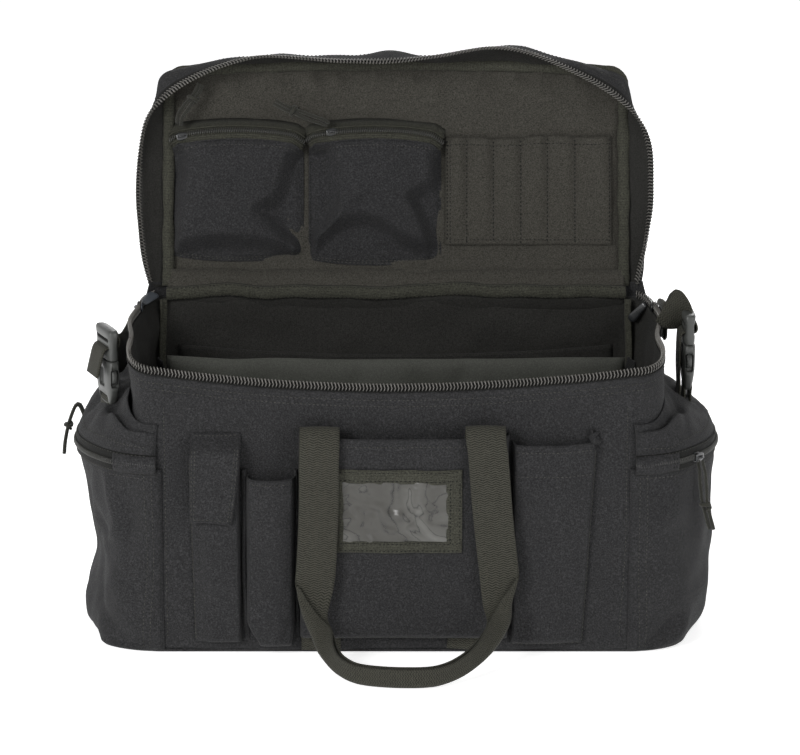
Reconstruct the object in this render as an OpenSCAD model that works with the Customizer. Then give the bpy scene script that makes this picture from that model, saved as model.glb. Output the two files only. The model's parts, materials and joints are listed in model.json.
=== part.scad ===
// Soft-sided gear bag: zipped organiser lid standing open, padded divider,
// outside pockets, two webbing carry handles and a shoulder strap.
// Millimetres. Z is up, the front faces -Y and the length runs along X.
// The origin is the centre of the underside, on the surface the bag stands on.

/* [Body] */
// Half length of the main compartment at its rim
rim_half = 256; // [246:1:260]
// Half depth of the main compartment
half_depth = 118; // [114:1:122]
// Height of the front rim at the middle, where it sags
front_height = 259; // [250:1:265]
// Thickness of the fabric walls
wall = 3; // [2:0.5:3.5]

/* [Lid] */
// Angle the lid has swung open from closed, in degrees
lid_open = 105; // [90:1:110]
// Half length of the lid panel
lid_half = 231; // [225:1:236]
// Depth of the two zipped lid pockets
lid_pocket_depth = 20; // [14:1:22]
// Number of slots in the pen organiser
pen_slots = 6; // [3:1:7]

/* [End pockets] */
// Distance from the centre to the outermost point of an end pocket's zip
end_reach = 315; // [310:1:320]
// Height of the zip round an end pocket
end_zip_height = 187; // [170:1:195]

/* [Webbing] */
// Width of the handle and strap webbing
webbing_width = 38; // [30:1:42]
// Thickness of the webbing
webbing_thickness = 1.6; // [1.2:0.1:2.5]
// Distance of each handle strand from the centre
handle_offset = 72; // [66:1:76]

/* [Hidden] */

cloth = [0.20, 0.20, 0.21];
lining = [0.23, 0.22, 0.19];
olive = [0.27, 0.27, 0.23];
tape = [0.30, 0.31, 0.27];
plastic = [0.12, 0.12, 0.12];
metal = [0.42, 0.39, 0.34];
clear = [0.7, 0.75, 0.78, 0.5];

gap = 0.3;
base_z = 3;             // top of the bottom panel
corner_arc = 30;        // plan radius of the corners
seam_x = rim_half - corner_arc;
side_y = half_depth - corner_arc;
front_rise = 15;        // rise of the front rim from its middle to the seam
seam_height = front_height + front_rise;
corner_height = seam_height + 8;
side_back_height = corner_height + 12;
back_height = side_back_height + 8;
zip_rise = 4;           // height of each half of the main zip
zip_gap = 1;
hinge_y = half_depth;
hinge_z = back_height + 4;
lid_under = hinge_z + 2;
lid_thick = 4;
lid_front_y = 6 - half_depth;
lid_arc = 22;           // plan radius of the lid panel's front corners
gusset_back_y = 70;     // where the side gussets run out, near the hinge
arc_steps = 6;

// ---- curves ------------------------------------------------------------------

function mix(a, b, t) = a + (b - a) * t;
function arc(cx, cy, r, a0, a1, n) =
    [for (i = [0:n]) [cx + r * cos(mix(a0, a1, i / n)), cy + r * sin(mix(a0, a1, i / n))]];

// Height of the body's rim above the point (x, y) of its outline.
function rim_z(p) =
    p[1] <= 0.01 - half_depth ? front_height + front_rise * pow(p[0] / seam_x, 2) :
    p[1] < -side_y ? mix(seam_height, corner_height, (p[1] + half_depth) / corner_arc) :
    p[1] < side_y ? mix(corner_height, side_back_height, (p[1] + side_y) / (2 * side_y)) :
    mix(side_back_height, back_height, (p[1] - side_y) / corner_arc);

// Right-hand outline of the main compartment, from the front seam to the back seam.
function end_outline(inset) = concat(
    arc(seam_x, -side_y, corner_arc - inset, -90, 0, arc_steps),
    [for (y = [-40, 0, 40]) [rim_half - inset, y]],
    arc(seam_x, side_y, corner_arc - inset, 0, 90, arc_steps));

// Right-hand outline of an end pocket: a wide arc between two tighter corner arcs.
pocket_half = 120.5;
track_angle = 40;
track_r = 150;
track_x = end_reach - track_r;
corner_r = (pocket_half - track_r * sin(track_angle)) / (1 - sin(track_angle));
corner_x = track_x + (track_r - corner_r) * cos(track_angle);
corner_y = (track_r - corner_r) * sin(track_angle);
corner_steps = 5;       // gives this outline as many points as end_outline
// fullness is 1 at the zip and less where the wall pulls in.
function pocket_outline(fullness, inset) =
    let (points = concat(
        arc(corner_x, -corner_y, corner_r - inset, -90, -track_angle, corner_steps),
        [for (k = [-2:2]) let (a = track_angle * k / 3)
            [track_x + (track_r - inset) * cos(a), (track_r - inset) * sin(a)]],
        arc(corner_x, corner_y, corner_r - inset, track_angle, 90, corner_steps)))
    [for (p = points) [corner_x + (p[0] - corner_x) * fullness, p[1]]];

// ---- shapes ------------------------------------------------------------------

// Closed sheet between two grids of points of the same size.
module sheet(outer, inner) {
    rows = len(outer);
    cols = len(outer[0]);
    half = rows * cols;
    function at(i, j) = i * cols + j;
    polyhedron(
        points = concat([for (row = inner) each row], [for (row = outer) each row]),
        faces = concat(
            [for (i = [0:rows - 2], j = [0:cols - 2])
                [at(i, j), at(i, j + 1), at(i + 1, j + 1), at(i + 1, j)]],
            [for (i = [0:rows - 2], j = [0:cols - 2])
                [half + at(i, j), half + at(i + 1, j), half + at(i + 1, j + 1), half + at(i, j + 1)]],
            [for (j = [0:cols - 2]) [at(0, j), half + at(0, j), half + at(0, j + 1), at(0, j + 1)]],
            [for (j = [0:cols - 2])
                [at(rows - 1, j), at(rows - 1, j + 1), half + at(rows - 1, j + 1), half + at(rows - 1, j)]],
            [for (i = [0:rows - 2]) [at(i, 0), at(i + 1, 0), half + at(i + 1, 0), half + at(i, 0)]],
            [for (i = [0:rows - 2])
                [at(i, cols - 1), half + at(i, cols - 1), half + at(i + 1, cols - 1), at(i + 1, cols - 1)]]));
}

function raise(outline, z) = [for (p = outline) [p[0], p[1], z]];

// Flat strip swept along route; across holds the direction of its width at each point.
module band(route, across, width, thickness) {
    n = len(route);
    function along(i) = route[min(i + 1, n - 1)] - route[max(i - 1, 0)];
    function unit(v) = v / norm(v);
    function side(i) = unit(across[i] - along(i) * (across[i] * along(i)) / (along(i) * along(i)));
    function face(i) = unit(cross(side(i), along(i)));
    function ring(i) = [for (c = [[-1, -1], [1, -1], [1, 1], [-1, 1]])
        route[i] + side(i) * c[0] * width / 2 + face(i) * c[1] * thickness / 2];
    polyhedron(
        points = [for (i = [0:n - 1]) each ring(i)],
        faces = concat(
            [[3, 2, 1, 0]],
            [for (i = [0:n - 2], j = [0:3])
                [4 * i + j, 4 * i + (j + 1) % 4, 4 * i + 4 + (j + 1) % 4, 4 * i + 4 + j]],
            [[for (j = [0:3]) 4 * (n - 1) + j]]));
}

// Round cord swept along route.
cord_sides = 8;
module cord(route, diameter) {
    n = len(route);
    function along(i) = route[min(i + 1, n - 1)] - route[max(i - 1, 0)];
    function unit(v) = v / norm(v);
    function side(i) = unit(cross(along(i), [1, 0.2, 0.1]));
    function up(i) = unit(cross(side(i), along(i)));
    polyhedron(
        points = [for (i = [0:n - 1], k = [0:cord_sides - 1])
            route[i] + diameter / 2 * (side(i) * cos(k * 360 / cord_sides) + up(i) * sin(k * 360 / cord_sides))],
        faces = concat(
            [[for (k = [cord_sides - 1:-1:0]) k]],
            [for (i = [0:n - 2], k = [0:cord_sides - 1])
                [cord_sides * i + k, cord_sides * i + (k + 1) % cord_sides,
                 cord_sides * (i + 1) + (k + 1) % cord_sides, cord_sides * (i + 1) + k]],
            [[for (k = [0:cord_sides - 1]) cord_sides * (n - 1) + k]]));
}

// Wall in the XZ plane from a polygon, between y and y + thickness.
module upright(points, y, thickness) {
    translate([0, y + thickness, 0]) rotate([90, 0, 0]) linear_extrude(thickness) polygon(points);
}

// Tray open at its top and back, standing against the front panel.
module patch_pocket(x0, x1, z0, z1, depth) {
    skin = 1.6;
    translate([x0, -half_depth - gap - depth, z0]) difference() {
        cube([x1 - x0, depth, z1 - z0]);
        translate([skin, skin, skin]) cube([x1 - x0 - 2 * skin, depth, z1 - z0]);
    }
}

module on_lid() {
    translate([0, hinge_y, hinge_z]) rotate([-lid_open, 0, 0]) translate([0, -hinge_y, -hinge_z]) children();
}

module left_side() {
    mirror([1, 0, 0]) children();
}

// ---- body --------------------------------------------------------------------

rim_steps = 16;
module front_panel() {
    color(cloth) upright(concat([[-seam_x, base_z + gap], [seam_x, base_z + gap]],
        [for (i = [rim_steps:-1:-rim_steps]) let (x = seam_x * i / rim_steps) [x, rim_z([x, -half_depth])]]),
        -half_depth, wall);
}

module back_panel() {
    color(cloth) translate([-seam_x, half_depth - wall, base_z + gap])
        cube([2 * seam_x, wall, back_height - base_z - gap]);
}

module end_panel() {
    rim = end_outline(0);
    function levels(inset) = let (plan = end_outline(inset))
        [raise(plan, base_z + gap), raise(plan, 150),
         [for (i = [0:len(plan) - 1]) [plan[i][0], plan[i][1], rim_z(rim[i])]]];
    color(cloth) sheet(levels(0), levels(wall));
}
module right_end_panel() end_panel();
module left_end_panel() left_side() end_panel();

floor_fullness = 0.61;
module bottom_panel() {
    right = pocket_outline(floor_fullness, 3);
    color(cloth) linear_extrude(base_z) polygon(concat(right, flipped(right)));
}

module base_board() {
    color(plastic) translate([-240, -108, base_z + gap]) cube([480, 216, 3]);
}

// Main zip, lower half: standing on the rim from one end of the hinge to the other.
function front_run(inset) =
    [for (i = [-rim_steps:rim_steps]) [seam_x * i / rim_steps, inset - half_depth]];
function flipped(outline) = [for (i = [len(outline) - 1:-1:0]) [-outline[i][0], outline[i][1]]];
function inner_part(list, a, b) = [for (i = [a:b]) list[i]];
side_points = arc_steps + 4;     // outline points from the front seam to the back corner
function zip_outline(inset) =
    let (end = inner_part(end_outline(inset), 1, side_points))
    concat(flipped(end), front_run(inset), end);
function zip_heights(dz) =
    let (outer = zip_outline(0)) [for (p = outer) rim_z(p) + dz];
function zip_row(inset, dz) =
    let (plan = zip_outline(inset), z = zip_heights(dz)) [for (i = [0:len(plan) - 1]) [plan[i][0], plan[i][1], z[i]]];
module zip_half(low, high) {
    sheet([zip_row(0, low), zip_row(0, high)], [zip_row(wall - 0.4, low), zip_row(wall - 0.4, high)]);
}
module rim_zip() {
    color(metal) zip_half(0.1, zip_rise);
}

module hinge_binding() {
    half = seam_x + 8;
    color(tape) translate([-half, half_depth - 5, back_height + 0.1]) cube([2 * half, 6.5, 1.7]);
}

module inner_pocket() {
    top = 252;
    sag = 10;
    x1 = 222;
    depth = 12;
    skin = 1.6;
    y0 = half_depth - wall - gap - depth;
    outline = concat([[-x1, 40], [x1, 40]],
        [for (i = [8:-1:-8]) [x1 * i / 8, top - sag * (1 - pow(i / 8, 2))]]);
    color(lining) {
        upright(outline, y0, skin);
        for (s = [-1, 1]) translate([s * (x1 - skin / 2) - skin / 2, y0 + skin, 40])
            cube([skin, depth - skin, top - 40]);
        translate([-x1 + skin, y0 + skin, 40]) cube([2 * (x1 - skin), depth - skin, skin]);
    }
}

// ---- end pockets ---------------------------------------------------------------

wall_top = end_zip_height - 4;
wall_levels = [[0.5, floor_fullness], [14, 0.77], [40, 0.84], [90, 0.85], [140, 0.93], [wall_top, 1]];
module end_pocket() {
    color(cloth) sheet(
        [for (l = wall_levels) raise(pocket_outline(l[1], 0), l[0])],
        [for (l = wall_levels) raise(pocket_outline(l[1], 2), l[0])]);
}
module right_end_pocket() end_pocket();
module left_end_pocket() left_side() end_pocket();

module end_zip() {
    color(metal) sheet(
        [for (z = [wall_top + 0.2, end_zip_height + 3]) raise(pocket_outline(1, 0), z)],
        [for (z = [wall_top + 0.2, end_zip_height + 3]) raise(pocket_outline(1, 2), z)]);
}
module right_end_zip() end_zip();
module left_end_zip() left_side() end_zip();

// Roof of an end pocket: from its zip, over a ridge, to the end panel.
roof_thick = 2;
function roof_low(inset) = raise(pocket_outline(1, inset), end_zip_height + 5.3 - inset);
function roof_high(inset) =
    [for (p = end_outline(inset - roof_thick - 0.4)) [p[0], p[1], 228 - 14 * pow(p[1] / half_depth, 2) - inset]];
function roof_ridge(inset) =
    let (low = roof_low(inset), high = roof_high(inset))
    [for (i = [0:len(low) - 1]) let (m = mix(high[i], low[i], 0.33))
        [m[0], m[1], mix(high[i][2], low[i][2], 0.18)]];
module pocket_roof() {
    color(cloth) sheet([roof_low(0), roof_ridge(0), roof_high(0)],
        [roof_low(roof_thick), roof_ridge(roof_thick), roof_high(roof_thick)]);
}
module right_pocket_roof() pocket_roof();
module left_pocket_roof() left_side() pocket_roof();

// Slider riding the outside of an end zip at an angle along the track's arc.
module arc_slider(angle) {
    color(plastic) translate([track_x, 0, end_zip_height]) rotate([0, 0, angle]) {
        translate([track_r + gap, -7, -5]) cube([3.2, 14, 10]);
        translate([track_r + gap + 3.4, -3, -4]) difference() {
            cube([3.2, 6, 9]);
            translate([-1, 1.2, 2]) cube([3, 3.6, 5]);
        }
    }
}
module right_end_slider() arc_slider(-35);
module left_end_slider() left_side() arc_slider(20);

// A pull is a cord folded in half through its slider, with both halves in one knot.
pull_diameter = 3.6;
right_pull_route = [[293, -91, 180], [294.5, -93, 174], [295, -94, 165], [296, -96, 155], [297, -97, 144],
    [300, -98, 132], [304, -99, 118]];
left_pull_route = [[-314, 54, 194], [-318, 54, 203], [-322, 53, 202], [-326, 52, 193], [-329, 51, 184],
    [-331, 50, 176], [-333, 49, 165], [-334, 48, 154]];
module pull_cord(route, spread) {
    color(olive) for (s = [-1, 1]) cord([for (p = route) p + s * spread], pull_diameter);
}
module right_end_pull_cord() pull_cord(right_pull_route, [2, -1, 0]);
module left_end_pull_cord() pull_cord(left_pull_route, [0, 2, 0]);

// ---- front pockets and handles ----------------------------------------------------

module baton_pocket() color(cloth) patch_pocket(-192, -149, 12, 190, 14);
module narrow_pocket() color(cloth) patch_pocket(-141, -95, 9, 175, 18);
module centre_pocket() color(cloth) difference() {
    patch_pocket(-93.5, 108, 17, 213, 20);
    // Room for the handle webbing that runs down behind it.
    for (s = [-1, 1]) translate([s * handle_offset - webbing_width / 2 - gap, -half_depth - 2.2, 0])
        cube([webbing_width + 2 * gap, 2.2, 220]);
}
module side_pocket() color(cloth) patch_pocket(112, 190, 12, 210, 16);

flap_z = 222;
module baton_flap() {
    y0 = -half_depth - 1;
    color(cloth) translate([-194, 0, 0]) rotate([90, 0, 90]) linear_extrude(47)
        polygon([[y0, flap_z], [y0 - 17.5, flap_z - 28], [y0 - 17.5, 132], [y0 - 15.3, 132],
            [y0 - 15.3, flap_z - 28], [y0 - 0.4, flap_z - 4]]);
}

card_y = -half_depth - gap - 20;
module card_film() {
    color(clear) translate([-53, card_y - 0.9, 112]) cube([104, 0.6, 62]);
}
module card_frame() {
    color(cloth) translate([-56, card_y - 2.4, 103]) difference() {
        cube([119, 1.4, 82]);
        translate([6, -1, 11]) cube([99, 4, 58]);
    }
}

// Webbing sewn up a face of the bag, with the fold at its top that the handle hangs from.
webbing_top = 216;
module sewn_webbing(reach) {
    color(olive) for (s = [-1, 1]) translate([s * handle_offset - webbing_width / 2, 0, 0]) {
        translate([0, half_depth + 0.1, base_z + 1])
            cube([webbing_width, webbing_thickness, webbing_top + webbing_thickness - base_z - 1]);
        translate([0, half_depth + 0.1, webbing_top]) cube([webbing_width, reach, webbing_thickness]);
    }
}
module front_handle_webbing() mirror([0, 1, 0]) sewn_webbing(22.5);
module back_handle_webbing() sewn_webbing(9.5);

// Handle loops: right half, from the fold to the middle of the grip.
front_loop = [[72, -143.5, 215], [72, -143.5, 200], [72, -143.5, 150], [72, -143.5, 100], [70, -145, 66],
    [64, -156, 42], [52, -180, 26], [34, -208, 19], [16, -222, 17], [0, -226, 17]];
front_across = [[1, 0, 0], [1, 0, 0], [1, 0, 0], [1, 0, 0], [1, -0.1, 0.1],
    [1, -0.3, 0.3], [0.7, -0.7, 0.7], [0.3, -1, 0.7], [0.1, -1, 0.5], [0, -1, 0.5]];
back_loop = [[72, 131.5, 215], [72, 131.5, 200], [72, 131.5, 150], [72, 131.5, 100],
    [72, 131.5, 60], [68, 135, 34], [60, 146, 16], [46, 168, 8], [26, 188, 5], [0, 196, 5]];
back_across = [[1, 0, 0], [1, 0, 0], [1, 0, 0], [1, 0, 0],
    [1, 0, 0], [1, 0.1, 0], [1, 0.3, 0], [0.7, 0.7, 0], [0.3, 1, 0], [0, 1, 0]];
function both_halves(list) = concat(
    [for (i = [0:len(list) - 1]) [-list[i][0], list[i][1], list[i][2]]],
    [for (i = [len(list) - 2:-1:0]) list[i]]);
function both_across(list) = concat(
    [for (i = [0:len(list) - 1]) [-list[i][0], list[i][1], list[i][2]]],
    [for (i = [len(list) - 2:-1:0]) list[i]]);
module handle_loop(route, across) {
    color(olive) band(both_halves(route), both_across(across), webbing_width, webbing_thickness + 0.8);
}
module front_handle() handle_loop(front_loop, front_across);
module back_handle() handle_loop(back_loop, back_across);

// ---- divider -----------------------------------------------------------------------

divider_y = 10;
module divider_panel() {
    color(lining) upright(concat([[-228, 8], [228, 8]],
        [for (i = [8:-1:-8]) [228 * i / 8, 256 + 8 * pow(i / 8, 2)]]), divider_y - 3, 6);
}
module divider_tabs() {
    color(plastic) for (s = [-1, 1]) scale([s, 1, 1])
        translate([228.5, divider_y - 16, 60]) cube([2, 32, 190]);
}

// ---- main zip sliders ----------------------------------------------------------------

// Rides the straight part of the side rim, parked beside the hinge.
slider_y = 80;
module main_slider() {
    rise = (side_back_height - corner_height) / (2 * side_y);
    z = corner_height + rise * (slider_y + side_y);
    color(plastic) translate([rim_half - wall / 2, slider_y, z]) rotate([atan(rise), 0, 0]) {
        for (x = [-wall / 2 - 2.4, wall / 2 + 0.4]) translate([x, -6, -7]) cube([2, 12, zip_rise + 8]);
        translate([-wall / 2 - 2.4, -6, zip_rise + 1]) cube([wall + 4.8, 12, 2]);
        translate([wall / 2 + 2.5, -2.5, -30]) cube([1.6, 5, 32]);
    }
}
module right_main_slider() main_slider();
module left_main_slider() left_side() main_slider();

// ---- lid (drawn closed, then swung open) ---------------------------------------------

module lid_panel() {
    color(cloth) on_lid() translate([0, 0, lid_under]) linear_extrude(lid_thick) polygon(concat(
        [[lid_half, hinge_y - 2], [-lid_half, hinge_y - 2]],
        arc(lid_arc - lid_half, lid_front_y + lid_arc, lid_arc, 180, 270, arc_steps),
        arc(lid_half - lid_arc, lid_front_y + lid_arc, lid_arc, 270, 360, arc_steps)));
}

gusset_low = 2 * zip_rise + zip_gap;
gusset_top = lid_under - 0.2;
module lid_front_gusset() {
    shrink = (lid_half - lid_arc) / seam_x;
    function top_row(t) = [for (p = front_run(0)) [p[0] * shrink, lid_front_y + t, gusset_top]];
    function low_row(t) = [for (p = front_run(0)) [p[0], p[1] + t, rim_z(p) + gusset_low]];
    color(cloth) on_lid() sheet([low_row(0), top_row(0)], [low_row(2.5), top_row(2.5)]);
}

gusset_side_y = [-40, 0, 40, gusset_back_y];
module lid_side_gusset() {
    function low_plan(inset) = concat(arc(seam_x, -side_y, corner_arc - inset, -90, 0, arc_steps),
        [for (y = gusset_side_y) [rim_half - inset, y]]);
    function top_plan(inset) = concat(
        arc(lid_half - lid_arc, lid_front_y + lid_arc, lid_arc - inset, -90, 0, arc_steps),
        [for (y = gusset_side_y) [lid_half - inset, y]]);
    function low_row(inset) = let (outer = low_plan(0), plan = low_plan(inset))
        [for (i = [0:len(plan) - 1]) [plan[i][0], plan[i][1], rim_z(outer[i]) + gusset_low]];
    color(cloth) on_lid() sheet([low_row(0), raise(top_plan(0), gusset_top)],
        [low_row(2.5), raise(top_plan(2.5), gusset_top)]);
}
module lid_right_gusset() lid_side_gusset();
module lid_left_gusset() left_side() lid_side_gusset();

module lid_zip() {
    color(metal) on_lid() intersection() {
        zip_half(zip_rise + zip_gap, gusset_low - 0.1);
        translate([-300, -150, 200]) cube([600, 150 + gusset_back_y, 120]);
    }
}

module lid_binding() {
    w = 7;
    z = lid_under - 3.2;
    y0 = lid_front_y + 4;
    y1 = hinge_y - 6;
    x1 = lid_half - 3.5;
    color(tape) on_lid() translate([0, 0, z]) linear_extrude(3) difference() {
        translate([-x1, y0]) square([2 * x1, y1 - y0]);
        translate([w - x1, y0 + w]) square([2 * (x1 - w), y1 - y0 - 2 * w]);
        for (s = [-1, 1]) translate([s * x1, y0]) rotate([0, 0, 45]) square([18, 18], center = true);
    }
}

// Zipped lid pocket: a tray against the lid's inside, its mouth towards the lid's front edge.
pocket_front_y = -42;
pocket_back_y = 89;
skin = 1.6;
module lid_pocket(x0, x1) {
    depth = lid_pocket_depth;
    color(lining) on_lid() translate([x0, pocket_front_y, lid_under - 0.2 - depth]) difference() {
        cube([x1 - x0, pocket_back_y - pocket_front_y, depth]);
        translate([skin, -1, skin]) cube([x1 - x0 - 2 * skin, pocket_back_y - pocket_front_y + 1 - skin, depth]);
    }
}
lid_pocket_x = [[-220, -95], [-90, 44]];
module lid_pocket_left() lid_pocket(lid_pocket_x[0][0], lid_pocket_x[0][1]);
module lid_pocket_middle() lid_pocket(lid_pocket_x[1][0], lid_pocket_x[1][1]);

zip_z = lid_under - 13;
module lid_pocket_zips() {
    color(metal) on_lid() for (span = lid_pocket_x)
        translate([span[0], pocket_front_y - 9, zip_z]) cube([span[1] - span[0], 8.8, 2]);
}

module lid_slider(x) {
    color(plastic) on_lid() {
        translate([x, pocket_front_y - 8.5, zip_z - 3.3]) cube([11, 8, 3]);
        translate([x - 5, pocket_front_y - 6.5, zip_z - 4.9]) cube([10, 4, 1.4]);
    }
}
slider_x = [-217, -65];
module left_lid_slider() lid_slider(slider_x[0]);
module middle_lid_slider() lid_slider(slider_x[1]);

// Pull cords of the lid pockets in the closed lid's frame. The left one lies over the lid's
// inside towards its front edge, and the middle one lies over it, towards the left.
left_lid_pull_route = [for (p = [[-4, -52], [-2, -58], [3, -66], [9, -74], [15, -82], [19, -91]])
    [slider_x[0] + p[0], p[1], zip_z - 6]];
middle_lid_pull_route = [for (p = [[-4, -50, -7], [-12, -53, -10.5], [-24, -57, -12], [-36, -62, -12],
    [-47, -66, -12], [-58, -72, -12]]) [slider_x[1] + p[0], p[1], zip_z + p[2]]];
module left_lid_pull_cord() on_lid() pull_cord(left_lid_pull_route, [1.7, 1, 0]);
module middle_lid_pull_cord() on_lid() pull_cord(middle_lid_pull_route, [1.1, -1.5, 0]);

module pen_organiser() {
    x0 = 50;
    width = 170;
    pitch = width / pen_slots;
    depth = 9;
    color(lining) on_lid() translate([x0, -36, lid_under - 0.2 - depth]) difference() {
        cube([width, 107, depth]);
        for (i = [0:pen_slots - 1])
            translate([i * pitch + skin / 2, -1, skin]) cube([pitch - skin, 107 - skin, depth]);
    }
}

// ---- shoulder strap and buckles -------------------------------------------------------

socket_height = 44;
buckle_width = 50;
buckle_thick = 12;
arm_root_z = 46;
right_buckle = [286, -4, 238];
left_buckle = [-280, -36, 229];
left_turn = 112;
// Places a buckle drawn along +Z with its width along X: right one edge-on, left one turned.
module place_right() {
    translate([right_buckle.x, right_buckle.y, right_buckle.z]) rotate([0, 0, 90]) children();
}
module place_left() {
    translate([left_buckle.x, left_buckle.y, left_buckle.z]) rotate([0, 0, left_turn]) children();
}

module buckle_socket() {
    color(plastic) {
        difference() {
            translate([-buckle_width / 2, -buckle_thick / 2, 0]) cube([buckle_width, buckle_thick, socket_height]);
            translate([-21.5, -4.2, 12]) cube([43, 8.4, socket_height]);
            translate([-19.5, -buckle_thick, -1]) cube([39, 2 * buckle_thick, 10]);
            for (s = [-1, 1]) translate([s * 25 - 5, -4.2, 19]) cube([10, 8.4, 17]);
        }
        translate([-20.5, 0, 2.5]) rotate([0, 90, 0]) cylinder(r = 1.5, h = 41, $fn = 32);
    }
}
module buckle_plug() {
    color(plastic) {
        difference() {
            translate([-24, -5.5, socket_height + 0.6]) cube([48, 11, 30]);
            translate([-19.5, -6, socket_height + 10]) cube([39, 12, 4]);
            translate([-19.5, -6, socket_height + 20]) cube([39, 12, 4]);
            for (s = [-1, 1]) translate([s * 16.5 - 5, -3.6, socket_height - 1]) cube([10, 7.2, 6]);
        }
        translate([-4, -2.5, 16]) cube([8, 5, socket_height - 15.2]);
    }
}
module latch_arm() {
    color(plastic) rotate([90, 0, 0]) translate([0, 0, -3]) linear_extrude(6)
        polygon([[14, arm_root_z + 1], [19, arm_root_z + 1], [20.6, 37], [20.6, 34.5], [24.6, 33.5], [24.6, 24],
            [19, 20], [15, 20]]);
}
module right_buckle_socket() place_right() buckle_socket();
module left_buckle_socket() place_left() buckle_socket();
module right_buckle_plug() place_right() buckle_plug();
module left_buckle_plug() place_left() buckle_plug();
module right_latch_arm_back() place_right() latch_arm();
module right_latch_arm_front() place_right() mirror([1, 0, 0]) latch_arm();
module left_latch_arm_back() place_left() latch_arm();
module left_latch_arm_front() place_left() mirror([1, 0, 0]) latch_arm();

// A loop of webbing round each socket's bar, down to the roof of the end pocket.
module anchor_loop(drop) {
    color(olive) translate([0, 0, -drop]) difference() {
        translate([-19, -3.4, 0]) cube([38, 6.8, drop + 7]);
        translate([-20, -1.8, 2]) cube([40, 3.6, drop + 3.2]);
    }
}
module strap_anchors() {
    place_right() anchor_loop(19);
    place_left() anchor_loop(3);
}

// The strap's ends, fixed in the buckles; the strap swings from the folds above them.
module strap_ends() {
    color(olive) {
        band([[286, -4, 314], [285.6, -3, 334]], [[0, 1, 0], [0, 1, 0]], webbing_width, webbing_thickness);
        band([[-273, -33, 290], [-269.5, -14, 290]], [[0, 0, 1], [0, 0, 1]],
            webbing_width, webbing_thickness);
    }
}

// Each side of the strap, from its fold down behind the bag, with x as a distance from the centre.
strap_right = [[281.5, 12, 337], [279, 26, 338], [274, 45, 336], [268, 72, 328],
    [266, 105, 312], [266, 140, 282], [266, 165, 235], [266, 190, 170], [266, 215, 100], [265, 235, 45],
    [260, 247, 16], [240, 254, 5], [205, 258, 3], [140, 260, 2.6], [70, 260, 2.6], [0, 260, 2.6]];
strap_left = [[268, -4, 289], [265, 10, 287], [262.5, 34, 283], [262, 72, 276],
    [262, 105, 262], [263, 140, 236], [265, 165, 198], [266, 190, 145], [266, 215, 88], [265, 235, 42],
    [260, 247, 16], [240, 254, 5], [205, 258, 3], [140, 260, 2.6], [70, 260, 2.6]];
strap_across = [[0, 0.1, 1], [0, 0.1, 1], [0, 0.3, 1], [0, 0.5, 1],
    [0, 0.7, 1], [0, 1, 0.8], [0, 1, 0.5], [0, 1, 0.4], [0, 1, 0.4], [0, 1, 0.3],
    [0, 1, 0.1], [0, 1, 0], [0, 1, 0], [0, 1, 0], [0, 1, 0], [0, 1, 0]];
strap_route = concat(
    [for (p = strap_left) [-p[0], p[1], p[2]]],
    [for (i = [len(strap_right) - 1:-1:0]) strap_right[i]]);
module shoulder_strap() {
    color(olive) band(strap_route, both_across(strap_across), webbing_width, webbing_thickness);
}

front_panel();
back_panel();
left_end_panel();
right_end_panel();
bottom_panel();
base_board();
rim_zip();
hinge_binding();
inner_pocket();
left_end_pocket();
right_end_pocket();
left_pocket_roof();
right_pocket_roof();
left_end_zip();
right_end_zip();
left_end_slider();
right_end_slider();
left_end_pull_cord();
right_end_pull_cord();
baton_pocket();
baton_flap();
narrow_pocket();
centre_pocket();
card_frame();
card_film();
side_pocket();
front_handle_webbing();
back_handle_webbing();
front_handle();
back_handle();
divider_panel();
divider_tabs();
left_main_slider();
right_main_slider();
lid_panel();
lid_front_gusset();
lid_left_gusset();
lid_right_gusset();
lid_zip();
lid_binding();
lid_pocket_left();
lid_pocket_middle();
lid_pocket_zips();
pen_organiser();
left_lid_slider();
middle_lid_slider();
left_lid_pull_cord();
middle_lid_pull_cord();
strap_anchors();
left_buckle_socket();
right_buckle_socket();
left_buckle_plug();
right_buckle_plug();
left_latch_arm_front();
left_latch_arm_back();
right_latch_arm_front();
right_latch_arm_back();
strap_ends();
shoulder_strap();
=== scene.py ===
"""Looks of the open gear bag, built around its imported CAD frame.

Shapes are worked out in millimetres in the frame's axes (x right, -y front, z up) and turned
into metres when a mesh is made. Soft pieces are grids of points bent by folds and ripples."""
import json
import math

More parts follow.
